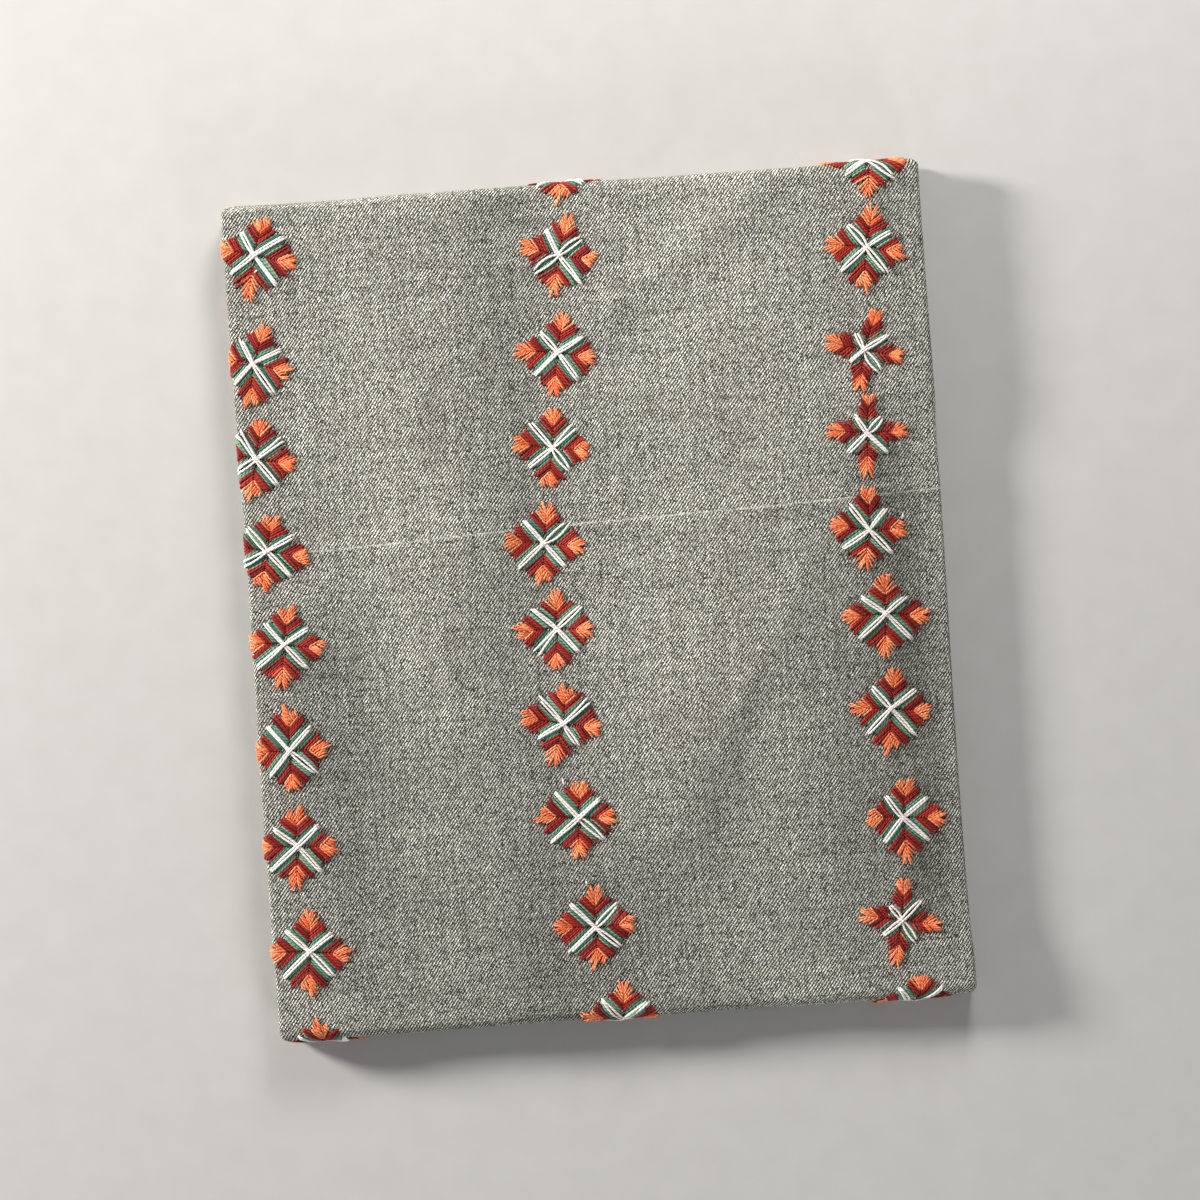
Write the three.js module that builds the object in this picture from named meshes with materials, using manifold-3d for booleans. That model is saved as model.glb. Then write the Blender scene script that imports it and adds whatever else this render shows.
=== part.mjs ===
import * as THREE from 'three';
import { mergeVertices } from 'three/addons/utils/BufferGeometryUtils.js';
import Module from 'manifold-3d';

// A wool shawl, folded in thirds across and in fifths along, lying flat.
// X runs across the folded shawl, Y along it, Z up from the surface it rests on. Sizes in mm.

// The whole cloth and how often it is folded.
const CLOTH_WIDE = 1016;
const CLOTH_LONG = 2032;
const THIRDS = 3;
const FIFTHS = 5;
const HALF_WIDE = CLOTH_WIDE / THIRDS / 2;
const HALF_LONG = CLOTH_LONG / FIFTHS / 2;

// The cloth wall, one folded strip of three layers, and the clearance between pieces.
const WALL = 1.15;
const STRIP_PITCH = 3.75;
const CLEARANCE = 0.3;
const HIGH = STRIP_PITCH * FIFTHS;

// Side folds of the strip: outer radius, the tighter radius inside the small end fold, and the lip.
const SIDE_RADIUS = 1.85;
const TIGHT_RADIUS = 1.45;
const SIDE_LIP = 1.5;
const TIGHTENS_FROM = -560;
const TIGHTENS_TO = -600;

// End folds, seen from the side. The returned layers of the two far folds lie on each other.
const LAYER_SPLIT = HIGH - 3 * STRIP_PITCH;
const SPLIT_HALF = 0.2;
const UPPER_LOW = LAYER_SPLIT + SPLIT_HALF;
const LOWER_HIGH = LAYER_SPLIT - SPLIT_HALF;
const UPPER_RADIUS = (HIGH - UPPER_LOW) / 2;
const LOWER_RADIUS = LOWER_HIGH / 2;
const NEAR_RADIUS = 6.5;
const LOWER_SET_BACK = 1.4;
const TAIL_LONG = 25;
const UPPER_CENTRE = HALF_LONG - UPPER_RADIUS;
const LOWER_CENTRE = HALF_LONG - LOWER_SET_BACK - LOWER_RADIUS;
const NEAR_CENTRE = -(HALF_LONG - NEAR_RADIUS);
const TAIL_END = HALF_LONG - TAIL_LONG;

// Plan corners are rounded, and the long edges are never quite straight.
const CORNER_RADIUS = 5.5;
const CORNER_FROM = HALF_LONG - 4.5;
const SWAY = 0.4;
const SWAY_LENGTH_ALONG = 262;
const SWAY_LENGTH_ACROSS = 214;

// Soft rolls and hollows that run down through the layers and die out at the flat underside.
// Columns: x and y where it starts, x and y where it ends, half width, height.
const ROLLS = [
  [-88, 190, -92, -60, 26, 1.3],
  [-30, 180, -24, -10, 22, -1.1],
  [84, 200, 28, -110, 30, 1.25],
  [92, 193, 5, 131, 11, 0.75],
  [95, -2, 42, -95, 13, 0.85],
  [72, -60, 66, -130, 20, -0.8],
  [-120, -40, -104, -190, 22, -0.95],
  [155, 60, 158, -150, 16, -0.9],
  [-60, -60, -48, -185, 24, 0.75],
  [10, -150, 70, -196, 20, -0.7],
  [-135, 33, 168, 43, 5, 0.4],
  [150, 190, 164, 100, 16, 0.6],
];
const ROLL_FADE = 34;

// Embroidered diamonds, three columns of ten that run over the folds.
// Columns: across, along, reach of the up, down, left and right petals, turn in degrees.
const DIAMONDS = [
  [-158.0, 228.0, 12.8, 14.5, 13.0, 12.8, -5],
  [-154.4, 178.5, 10.9, 16.4, 11.6, 14.0, -12],
  [-158.7, 126.3, 12.9, 14.2, 12.6, 13.2, -14],
  [-161.0, 79.9, 12.6, 14.2, 12.6, 12.6, -8],
  [-159.0, 35.0, 11.6, 13.6, 12.4, 12.6, -11],
  [-153.8, -10.7, 12.9, 15.0, 12.0, 12.2, -5],
  [-154.4, -62.0, 15.2, 12.9, 11.6, 13.5, 0],
  [-153.5, -108.2, 13.4, 15.0, 11.6, 13.1, -4],
  [-151.8, -159.6, 13.1, 16.4, 13.0, 13.9, -5],
  [-150.7, -212.0, 14.4, 14.5, 13.0, 12.8, -2],
  [-4.0, 211.4, 12.8, 13.9, 13.0, 12.8, -4],
  [-7.3, 167.7, 13.8, 13.5, 13.2, 10.9, -10],
  [-11.4, 120.8, 12.9, 14.0, 13.8, 12.4, -9],
  [-17.5, 74.8, 12.8, 12.8, 13.2, 11.6, -9],
  [-24.8, 29.1, 13.7, 13.9, 13.0, 12.9, -5],
  [-21.6, -12.8, 12.6, 13.1, 13.8, 11.8, -2],
  [-21.2, -58.9, 13.2, 14.0, 13.2, 12.6, -3],
  [-16.7, -104.8, 12.0, 12.9, 14.7, 12.5, -4],
  [-12.6, -158.3, 13.2, 13.6, 13.0, 12.6, -2],
  [-3.4, -204.3, 13.0, 14.5, 13.0, 12.8, -3],
  [145.8, 203.8, 12.8, 12.9, 13.0, 12.8, -4],
  [141.2, 161.4, 14.0, 15.1, 13.4, 13.5, -5],
  [136.4, 111.7, 13.6, 14.6, 12.2, 12.2, -3],
  [134.9, 71.5, 12.8, 13.9, 12.6, 12.5, -2],
  [132.3, 24.9, 13.8, 13.6, 12.4, 12.4, -6],
  [137.8, -16.1, 12.8, 14.3, 14.1, 14.7, -2],
  [137.5, -62.2, 12.9, 16.0, 13.3, 13.1, -7],
  [139.6, -115.0, 12.4, 15.4, 12.0, 14.2, -3],
  [135.2, -164.7, 12.8, 14.6, 13.1, 12.8, -3],
  [141.2, -208.6, 10.9, 14.5, 13.0, 12.8, 0],
  [-152.0, -618.5, 12.8, 14.5, 13.0, 12.8, -3],
  [-12.0, -629.0, 12.8, 14.5, 13.0, 12.8, 4],
  [139.0, -623.0, 12.8, 14.5, 13.0, 12.8, -2],
];

// One petal, pointing along its own axis, for a reach of one: an outer edge with two horns,
// and a crest in the middle.
const HORN_OUT = 1.45;
const HORN_ASIDE = 0.37;
const NOTCH_OUT = 1.31;
const CREST_OUT = 0.98;

// The cross between the petals: how far its arms reach, how wide they are, and how far from
// the crossing the petals start. Both sides of an arm slope up to the strands along its middle.
const ARM_SLOPE = 46;
const ARM_REACH = 16.6;
const ARM_HALF = 3.8;
const PETAL_START = 5.4;

// How far the stitches stand above the cloth, and how deep their solids sit in it.
const PETAL_EDGE = 0.65;
const PETAL_CREST = 1.05;
const GROOVE_RISE = 0.25;
const ARM_EDGE = 0.4;
const ARM_CREST = 1.1;
const STITCH_ROOT = 0.5;

// Where stitches stand up: round the left fold, and on the two end folds that show.
const LAST_SIDE_ANGLE = THREE.MathUtils.degToRad(90);
const SHOW_MARGIN = 1.2;
const LOWER_FIRST_TURN = THREE.MathUtils.degToRad(42);

// The shortest side and the thinnest face that a solid keeps.
const SHORT_SIDE = 0.012;
const SLIVER = 0.004;
const SLIVER_PASSES = 6;

// How finely the wall is divided.
const TOP_COLUMNS = 16;
const SIDE_STEPS = 4;
const TOP_STATIONS = 12;
const UPPER_STEPS = 6;
const NEAR_STEPS = 3;
const UNDER_STATIONS = 4;
const LOWER_STEPS = 5;

const smooth = (low, high, value) => THREE.MathUtils.smoothstep(value, low, high);

// Height of one soft roll at a place on the folded shawl.
function rollHeight([x1, y1, x2, y2, half, height], x, y) {
  const dx = x2 - x1;
  const dy = y2 - y1;
  const long = Math.hypot(dx, dy);
  const along = ((x - x1) * dx + (y - y1) * dy) / long;
  const aside = ((x - x1) * dy - (y - y1) * dx) / long;
  const fade = smooth(-ROLL_FADE, 0, along) * (1 - smooth(long, long + ROLL_FADE, along));
  return height * fade * Math.exp(-((aside / half) ** 2));
}

// Moves a point of the straight packet to where the soft, uneven one has it.
function soften(x, y, z) {
  let lift = 0;
  for (const roll of ROLLS) lift += rollHeight(roll, x, y);
  const past = Math.max(0, Math.abs(y) - CORNER_FROM);
  const drawn = CORNER_RADIUS - Math.sqrt(Math.max(0, CORNER_RADIUS ** 2 - past ** 2));
  const swayX = SWAY * Math.sin((2 * Math.PI * y) / SWAY_LENGTH_ALONG + 0.7);
  const swayY = SWAY * Math.sin((2 * Math.PI * x) / SWAY_LENGTH_ACROSS + 2.1);
  return [x * (1 - drawn / HALF_WIDE) + swayX, y + swayY, z * (1 + lift / HIGH)];
}

// The line the cloth's outer face follows, from inside the upper far fold, over the top, round
// the near fold, along the underside and into the lower far fold. It is measured by the cloth
// length "along", which equals Y on the top.
const UPPER_START = UPPER_CENTRE + Math.PI * UPPER_RADIUS;
const NEAR_SIDE = HIGH - 2 * NEAR_RADIUS;
const NEAR_ARC = (Math.PI / 2) * NEAR_RADIUS;
const SIDE_START = NEAR_CENTRE - NEAR_ARC;
const SIDE_STOP = SIDE_START - NEAR_SIDE;
const UNDER_START = SIDE_STOP - NEAR_ARC;
const LOWER_START = UNDER_START - (LOWER_CENTRE - NEAR_CENTRE);
const LOWER_STOP = LOWER_START - Math.PI * LOWER_RADIUS;
const PATH_START = UPPER_START + (UPPER_CENTRE - TAIL_END);
const PATH_STOP = LOWER_STOP - (LOWER_CENTRE - TAIL_END);

function pathAt(along) {
  if (along >= UPPER_START) {
    return { y: UPPER_CENTRE - (along - UPPER_START), z: UPPER_LOW, ny: 0, nz: -1 };
  }
  if (along >= UPPER_CENTRE) {
    const turn = (along - UPPER_CENTRE) / UPPER_RADIUS;
    const ny = Math.sin(turn);
    const nz = Math.cos(turn);
    return { y: UPPER_CENTRE + UPPER_RADIUS * ny, z: HIGH - UPPER_RADIUS * (1 - nz), ny, nz };
  }
  if (along >= NEAR_CENTRE) return { y: along, z: HIGH, ny: 0, nz: 1 };
  if (along >= SIDE_START) {
    const turn = (NEAR_CENTRE - along) / NEAR_RADIUS;
    const ny = -Math.sin(turn);
    const nz = Math.cos(turn);
    return { y: NEAR_CENTRE + NEAR_RADIUS * ny, z: HIGH - NEAR_RADIUS * (1 - nz), ny, nz };
  }
  if (along >= SIDE_STOP) {
    return { y: -HALF_LONG, z: HIGH - NEAR_RADIUS - (SIDE_START - along), ny: -1, nz: 0 };
  }
  if (along >= UNDER_START) {
    const turn = (SIDE_STOP - along) / NEAR_RADIUS;
    const ny = -Math.cos(turn);
    const nz = -Math.sin(turn);
    return { y: NEAR_CENTRE + NEAR_RADIUS * ny, z: NEAR_RADIUS * (1 + nz), ny, nz };
  }
  if (along >= LOWER_START) {
    return { y: NEAR_CENTRE + (UNDER_START - along), z: 0, ny: 0, nz: -1 };
  }
  if (along >= LOWER_STOP) {
    const turn = (LOWER_START - along) / LOWER_RADIUS;
    const ny = Math.sin(turn);
    const nz = -Math.cos(turn);
    return { y: LOWER_CENTRE + LOWER_RADIUS * ny, z: LOWER_RADIUS * (1 + nz), ny, nz };
  }
  return { y: LOWER_CENTRE - (LOWER_STOP - along), z: LOWER_HIGH, ny: 0, nz: 1 };
}

function sideRadius(along) {
  const tight = smooth(-TIGHTENS_FROM, -TIGHTENS_TO, -along);
  return THREE.MathUtils.lerp(SIDE_RADIUS, TIGHT_RADIUS, tight);
}

// Section across the strip: flat in the middle, rolled under at both side folds.
function acrossAt(across, radius) {
  const flat = HALF_WIDE - radius;
  const side = Math.sign(across);
  const past = Math.abs(across) - flat;
  if (past <= 0) return { x: across, depth: 0, nx: 0, nd: 1 };
  const turn = past / radius;
  if (turn <= Math.PI) {
    const x = side * (flat + radius * Math.sin(turn));
    return { x, depth: radius * (1 - Math.cos(turn)), nx: side * Math.sin(turn), nd: Math.cos(turn) };
  }
  return { x: side * (flat - (past - Math.PI * radius)), depth: 2 * radius, nx: 0, nd: -1 };
}

// A point on the cloth: across, along, and height above its outer face.
function clothPoint(across, along, rise) {
  const path = pathAt(along);
  const cut = acrossAt(across, sideRadius(along));
  const out = rise * cut.nd - cut.depth;
  return soften(cut.x + rise * cut.nx, path.y + path.ny * out, path.z + path.nz * out);
}

function range(from, to, steps) {
  return Array.from({ length: steps }, (_, i) => from + ((to - from) * i) / steps);
}

// Stations along the cloth where the wall has points, from its start to its end.
const STATIONS = [
  PATH_START,
  ...range(UPPER_START, UPPER_CENTRE, UPPER_STEPS),
  ...range(UPPER_CENTRE, NEAR_CENTRE, TOP_STATIONS),
  ...range(NEAR_CENTRE, SIDE_START, NEAR_STEPS),
  SIDE_START,
  ...range(SIDE_STOP, UNDER_START, NEAR_STEPS),
  ...range(UNDER_START, LOWER_START, UNDER_STATIONS),
  ...range(LOWER_START, LOWER_STOP, LOWER_STEPS),
  LOWER_STOP,
  PATH_STOP,
];

// Columns across the strip, from the left lip over the top to the right lip.
function columnsAt(radius) {
  const flat = HALF_WIDE - radius;
  const lip = flat + Math.PI * radius + SIDE_LIP;
  const rim = flat + Math.PI * radius;
  return [-lip, ...range(-rim, -flat, SIDE_STEPS), ...range(-flat, flat, TOP_COLUMNS),
    ...range(flat, rim, SIDE_STEPS), rim, lip];
}

// Joins rings of points into one closed surface; each end is closed by the given triangles.
function ringSolid(rings, endTriangles) {
  const count = rings[0].length;
  const triangles = [];
  for (let i = 0; i + 1 < rings.length; i += 1) {
    for (let j = 0; j < count; j += 1) {
      const k = (j + 1) % count;
      const [a, b] = [i * count + j, i * count + k];
      const [c, d] = [a + count, b + count];
      triangles.push([a, c, b], [b, c, d]);
    }
  }
  const last = (rings.length - 1) * count;
  for (const [a, b, c] of endTriangles) {
    triangles.push([a, b, c], [last + a, last + c, last + b]);
  }
  return { points: rings.flat(), triangles };
}

const wasm = await Module();
wasm.setup();

function enclosed({ points, triangles }) {
  let volume = 0;
  for (const [a, b, c] of triangles) {
    const [p, q, r] = [points[a], points[b], points[c]];
    volume += p[0] * (q[1] * r[2] - q[2] * r[1]) - p[1] * (q[0] * r[2] - q[2] * r[0])
      + p[2] * (q[0] * r[1] - q[1] * r[0]);
  }
  return volume / 6;
}

// A solid ready for joining, with its faces turned outwards.
function solid(shape) {
  const flip = enclosed(shape) < 0;
  const triVerts = shape.triangles.flatMap(([a, b, c]) => (flip ? [a, c, b] : [a, b, c]));
  const mesh = new wasm.Mesh({
    numProp: 3,
    vertProperties: new Float32Array(shape.points.flat()),
    triVerts: new Uint32Array(triVerts),
  });
  return new wasm.Manifold(mesh);
}

// The cloth that shows: one wall whose inner face lies a wall's thickness under the outer one.
function clothWall() {
  const rings = STATIONS.map((along) => {
    const columns = columnsAt(sideRadius(along));
    const outer = columns.map((across) => clothPoint(across, along, 0));
    const inner = columns.map((across) => clothPoint(across, along, -WALL)).reverse();
    return [...outer, ...inner];
  });
  const wide = rings[0].length / 2;
  const ends = [];
  for (let j = 0; j + 1 < wide; j += 1) {
    const [a, b, c, d] = [j, j + 1, 2 * wide - 1 - j, 2 * wide - 2 - j];
    ends.push([a, b, c], [b, d, c]);
  }
  return solid(ringSolid(rings, ends));
}

// Lines where the cloth bends, so that what lies on it bends beside the same places.
const BEND_SHIFT = 0.15;
const BEND_ALONG = STATIONS.filter((v) => v > UNDER_START && (v >= UPPER_CENTRE || v <= NEAR_CENTRE))
  .concat(STATIONS.filter((v) => v <= LOWER_START && v >= LOWER_STOP)).map((v) => v + BEND_SHIFT);
const LEFT_FLAT = -(HALF_WIDE - SIDE_RADIUS);
const BEND_ACROSS = range(0, -Math.PI * SIDE_RADIUS, SIDE_STEPS)
  .map((past) => LEFT_FLAT + past + BEND_SHIFT);

// Cuts a flat piece along a line of constant across (axis 0) or along (axis 1).
function halfOf(polygon, axis, line, keep) {
  const kept = [];
  polygon.forEach((point, i) => {
    const next = polygon[(i + 1) % polygon.length];
    const [here, there] = [keep * (point[axis] - line), keep * (next[axis] - line)];
    if (here >= 0) kept.push(point);
    if (here * there < 0) {
      const [low, high] = point[axis] < next[axis] ? [point, next] : [next, point];
      const share = (line - low[axis]) / (high[axis] - low[axis]);
      const cut = low.map((value, k) => value + (high[k] - value) * share);
      cut[axis] = line;
      kept.push(cut);
    }
  });
  return kept;
}

function area(polygon) {
  return polygon.reduce((sum, [x, y], i) => {
    const [nx, ny] = polygon[(i + 1) % polygon.length];
    return sum + (x * ny - nx * y) / 2;
  }, 0);
}

function splitBy(polygons, axis, line) {
  return polygons.flatMap((polygon) => [halfOf(polygon, axis, line, 1), halfOf(polygon, axis, line, -1)])
    .filter((polygon) => polygon.length > 2 && Math.abs(area(polygon)) > 1e-6);
}

// One raised patch of stitches, laid on the cloth's own points and moved out. Its corners are
// [across, along, rise], and it is cut at every line where the cloth bends.
function raisedPatch(corners, corneredFaces, window) {
  let parts = corneredFaces.map((face) => face.map((i) => corners[i]));
  for (const [axis, line, keep] of window) {
    parts = parts.map((polygon) => halfOf(polygon, axis, line, keep))
      .filter((polygon) => polygon.length > 2 && Math.abs(area(polygon)) > 1e-6);
  }
  for (const line of BEND_ALONG) parts = splitBy(parts, 1, line);
  for (const line of BEND_ACROSS) parts = splitBy(parts, 0, line);
  if (parts.length === 0) return null;
  const flat = [];
  const seen = new Map();
  const indexOf = (point) => {
    const key = `${point[0].toFixed(4)},${point[1].toFixed(4)}`;
    if (!seen.has(key)) {
      seen.set(key, flat.length);
      flat.push(point);
    }
    return seen.get(key);
  };
  const faces = parts.flatMap((polygon) => {
    const ring = polygon.map(indexOf);
    return ring.slice(2).map((c, i) => [ring[0], ring[i + 1], c]);
  }).filter(([a, b, c]) => a !== b && b !== c && a !== c);
  const count = flat.length;
  const edges = new Set(faces.flatMap(([a, b, c]) => [`${a},${b}`, `${b},${c}`, `${c},${a}`]));
  const triangles = faces.flatMap(([a, b, c]) => [[a, b, c], [a + count, c + count, b + count]]);
  for (const edge of edges) {
    const [a, b] = edge.split(',').map(Number);
    if (!edges.has(`${b},${a}`)) triangles.push([a, a + count, b], [b, a + count, b + count]);
  }
  const top = flat.map(([across, along, rise]) => clothPoint(across, along, rise));
  const root = flat.map(([across, along]) => clothPoint(across, along, -STITCH_ROOT));
  return solid({ points: [...top, ...root], triangles });
}

// The parts of the cloth where a diamond may stand up: each is a list of cuts.
function showWindows(along) {
  const side = LEFT_FLAT - SIDE_RADIUS * LAST_SIDE_ANGLE;
  const right = HALF_WIDE - SIDE_RADIUS;
  const across = [[0, side, 1], [0, right, -1]];
  if (along < UNDER_START - CLOTH_LONG / FIFTHS / 2) {
    const first = LOWER_START - LOWER_RADIUS * LOWER_FIRST_TURN;
    return [...across, [1, first, -1], [1, LOWER_STOP + SHOW_MARGIN, 1]];
  }
  return [...across, [1, UPPER_START - SHOW_MARGIN, -1], [1, UNDER_START + NEAR_ARC / 2, 1]];
}

function turned([x, y], degrees) {
  const turn = THREE.MathUtils.degToRad(degrees);
  return [x * Math.cos(turn) - y * Math.sin(turn), x * Math.sin(turn) + y * Math.cos(turn)];
}

// The corners of one quarter of a diamond, with the petal on its own axis: the petal's horn,
// notch and horn, the three points of the arm's end after it, the petal's crest and its start.
function quarterCorners(reach, quarter) {
  const slope = quarter % 2 === 0 ? ARM_SLOPE : 90 - ARM_SLOPE;
  const arm = [[-ARM_HALF, ARM_EDGE], [0, ARM_CREST], [ARM_HALF, ARM_EDGE]];
  return [
    [HORN_OUT * reach, -HORN_ASIDE * reach, PETAL_EDGE],
    [NOTCH_OUT * reach, 0, PETAL_EDGE],
    [HORN_OUT * reach, HORN_ASIDE * reach, PETAL_EDGE],
    ...arm.map(([aside, rise]) => [...turned([ARM_REACH, aside], slope), rise]),
    [CREST_OUT * reach, 0, PETAL_CREST],
    [PETAL_START, 0, GROOVE_RISE],
  ];
}

// The faces of a quarter: six round the petal's crest and four on the arm after it.
function quarterFaces(quarter, size, centre) {
  const own = quarter * size;
  const before = ((quarter + 3) % 4) * size;
  const after = ((quarter + 1) % 4) * size;
  const [horn, notch, otherHorn, armRight, armTop, armLeft, crest, start] = [...Array(size).keys()];
  const round = [own + start, before + armLeft, own + horn, own + notch, own + otherHorn, own + armRight];
  return [
    ...round.map((corner, i) => [corner, round[(i + 1) % round.length], own + crest]),
    [own + start, own + armRight, own + armTop],
    [own + start, own + armTop, centre],
    [centre, own + armTop, after + start],
    [own + armTop, own + armLeft, after + start],
  ];
}

function diamondPatch([across, along, up, down, left, right, turn]) {
  const quarters = [right, up, left, down].map((reach, quarter) => (
    quarterCorners(reach, quarter).map(([x, y, rise]) => [...turned([x, y], 90 * quarter + turn), rise])
  ));
  const size = quarters[0].length;
  const corners = [...quarters.flat(), [0, 0, ARM_CREST]]
    .map(([x, y, rise]) => [across + x, along + y, rise]);
  const faces = [0, 1, 2, 3].flatMap((quarter) => quarterFaces(quarter, size, corners.length - 1));
  return raisedPatch(corners, faces, showWindows(along));
}

// The folded-in layers. Their core fills the inside of the cloth wall, and each strip's
// layered edges show at the sides. Seen from the side the core has a nose in each far fold.
const IN = WALL + CLEARANCE;
const CORE_BACK = 1.1;
const CORE_EASE = 0.45;
const CORE_HALF = HALF_WIDE - SIDE_RADIUS - SIDE_LIP - CORE_BACK;

function arc(centreY, centreZ, radius, from, to, steps) {
  return Array.from({ length: steps + 1 }, (_, i) => {
    const turn = THREE.MathUtils.degToRad(from + ((to - from) * i) / steps);
    return [centreY + radius * Math.cos(turn), centreZ + radius * Math.sin(turn)];
  });
}

function coreProfile(inset) {
  const notch = TAIL_END - CLEARANCE;
  const topLine = range(UPPER_CENTRE, NEAR_CENTRE, TOP_STATIONS).slice(1).map((y) => [y, HIGH - inset]);
  const under = range(NEAR_CENTRE, LOWER_CENTRE, UNDER_STATIONS).slice(1).map((y) => [y, inset]);
  return [
    ...arc(UPPER_CENTRE, HIGH - UPPER_RADIUS, UPPER_RADIUS - inset, -90, 90, UPPER_STEPS),
    ...topLine,
    ...arc(NEAR_CENTRE, HIGH - NEAR_RADIUS, NEAR_RADIUS - inset, 90, 180, NEAR_STEPS),
    ...arc(NEAR_CENTRE, NEAR_RADIUS, NEAR_RADIUS - inset, 180, 270, NEAR_STEPS),
    ...under,
    ...arc(LOWER_CENTRE, LOWER_RADIUS, LOWER_RADIUS - inset, -90, 90, LOWER_STEPS),
    [notch, LOWER_HIGH - inset],
    [notch, UPPER_LOW + inset],
  ];
}

function profileEnds(profile) {
  const flat = profile.map(([a, b]) => new THREE.Vector2(a, b));
  return THREE.ShapeUtils.triangulateShape(flat, []);
}

function coreSolid() {
  const profile = coreProfile(IN);
  const easedProfile = coreProfile(IN + CORE_EASE);
  const flat = HALF_WIDE - SIDE_RADIUS;
  const columns = [CORE_HALF, ...range(flat, -flat, TOP_COLUMNS).slice(1), -CORE_HALF];
  const rings = columns.map((x) => (Math.abs(x) === CORE_HALF ? easedProfile : profile)
    .map(([y, z]) => soften(x, y, z)));
  return solid(ringSolid(rings, profileEnds(profile)));
}

// Strips whose edges show between the top strip and the lowest one.
// Columns: low and high face, near and far end, how far each side is set back, how it wanders.
const STRIP_NEAR = -196.4;
const STRIP_FAR = TAIL_END - 1.3;
const EDGE_STRIPS = [
  [11.75, 14.7, STRIP_NEAR, 196.2, 0.9, 1.5, 0.5],
  [7.65, 11.4, STRIP_NEAR, STRIP_FAR, 1.6, 0.7, -0.6],
  [4.05, 7.35, STRIP_NEAR, STRIP_FAR, 0.5, 1.9, 0.45],
];
const STRIP_STATIONS = 8;
const ROUND_STEPS = 5;
const SELVEDGE_SHARE = 0.34;
const SELVEDGE_BACK = 1.1;
const GROOVE_BACK = 1.9;

// Section of a strip: one round three-layer fold at the right, and at the left a round
// two-layer fold with the free selvedge under it.
function stripSection(low, high, left, right) {
  const middle = (low + high) / 2;
  const radius = (high - low) / 2;
  const split = low + (high - low) * SELVEDGE_SHARE;
  const folded = (high - split) / 2;
  const thin = (split - low) / 2;
  return [
    ...arc(right - radius, middle, radius, -90, 90, ROUND_STEPS),
    ...arc(left + folded, high - folded, folded, 90, 250, ROUND_STEPS),
    [left + GROOVE_BACK, split],
    ...arc(left + SELVEDGE_BACK + thin, low + thin, thin, 120, 270, ROUND_STEPS - 2),
  ];
}

function edgeStrip([low, high, near, far, leftBack, rightBack, wander]) {
  const rings = range(near, far, STRIP_STATIONS).concat(far).map((y, i) => {
    const shift = wander * Math.sin(i * 1.7 + low);
    const section = stripSection(low, high, -HALF_WIDE + leftBack + shift, HALF_WIDE - rightBack + shift);
    return section.map(([x, z]) => soften(x, y, z));
  });
  return solid(ringSolid(rings, profileEnds(stripSection(low, high, -HALF_WIDE, HALF_WIDE))));
}

const sidesOf = ([a, b, c]) => [[a, b, c], [b, c, a], [c, a, b]];
const span = (points, a, b) => Math.hypot(...points[a].map((value, k) => value - points[b][k]));

function faceHeight(points, [a, b, c]) {
  const [ab, bc, ca] = [span(points, a, b), span(points, b, c), span(points, c, a)];
  const half = (ab + bc + ca) / 2;
  const squared = half * (half - ab) * (half - bc) * (half - ca);
  return (2 * Math.sqrt(Math.max(0, squared))) / Math.max(ab, bc, ca);
}

// Joining leaves a few points that all but touch. Each such pair becomes one point.
function withoutShortSides(points, faces) {
  const merged = points.map((_, i) => i);
  const rootOf = (i) => (merged[i] === i ? i : rootOf(merged[i]));
  for (const [a, b] of faces.flatMap(sidesOf)) {
    if (span(points, a, b) < SHORT_SIDE) merged[rootOf(a)] = rootOf(b);
  }
  return faces.map((face) => face.map(rootOf)).filter(([a, b, c]) => a !== b && b !== c && a !== c);
}

// A face as thin as a needle gives its long side up: the face beside it is split there instead.
function withoutSlivers(points, faces) {
  const owner = new Map();
  const note = (index) => sidesOf(faces[index]).forEach(([a, b]) => owner.set(`${a},${b}`, index));
  faces.forEach((_, index) => note(index));
  for (let pass = 0; pass < SLIVER_PASSES; pass += 1) {
    faces.forEach((face, index) => {
      if (faceHeight(points, face) >= SLIVER) return;
      const [a, b, c] = sidesOf(face).sort((p, q) => span(points, q[0], q[1]) - span(points, p[0], p[1]))[0];
      const beside = owner.get(`${b},${a}`);
      const d = faces[beside].find((corner) => corner !== a && corner !== b);
      if (owner.has(`${c},${d}`) || owner.has(`${d},${c}`)) return;
      owner.delete(`${a},${b}`);
      owner.delete(`${b},${a}`);
      faces[index] = [a, d, c];
      faces[beside] = [d, b, c];
      note(index);
      note(beside);
    });
  }
  return faces;
}

function toMesh(name, joined, colour, roughness) {
  const { vertProperties, triVerts, numProp } = joined.getMesh();
  const raw = new THREE.BufferGeometry();
  raw.setAttribute('position', new THREE.BufferAttribute(new Float32Array(vertProperties), numProp));
  raw.setIndex(new THREE.BufferAttribute(new Uint32Array(triVerts), 1));
  const geometry = mergeVertices(raw, 1e-3);
  const place = geometry.attributes.position;
  const points = Array.from({ length: place.count }, (_, i) => [place.getX(i), place.getY(i), place.getZ(i)]);
  const flat = [...geometry.index.array];
  const faces = Array.from({ length: flat.length / 3 }, (_, i) => flat.slice(3 * i, 3 * i + 3));
  geometry.setIndex(withoutSlivers(points, withoutShortSides(points, faces)).flat());
  geometry.computeVertexNormals();
  const material = new THREE.MeshStandardMaterial({ color: colour, roughness, metalness: 0 });
  material.name = name;
  const mesh = new THREE.Mesh(geometry, material);
  mesh.name = name;
  return mesh;
}

const shawlCloth = wasm.Manifold.union([clothWall(), ...DIAMONDS.map(diamondPatch)]);
const hiddenLayers = wasm.Manifold.union([coreSolid(), ...EDGE_STRIPS.map(edgeStrip)]);

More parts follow.
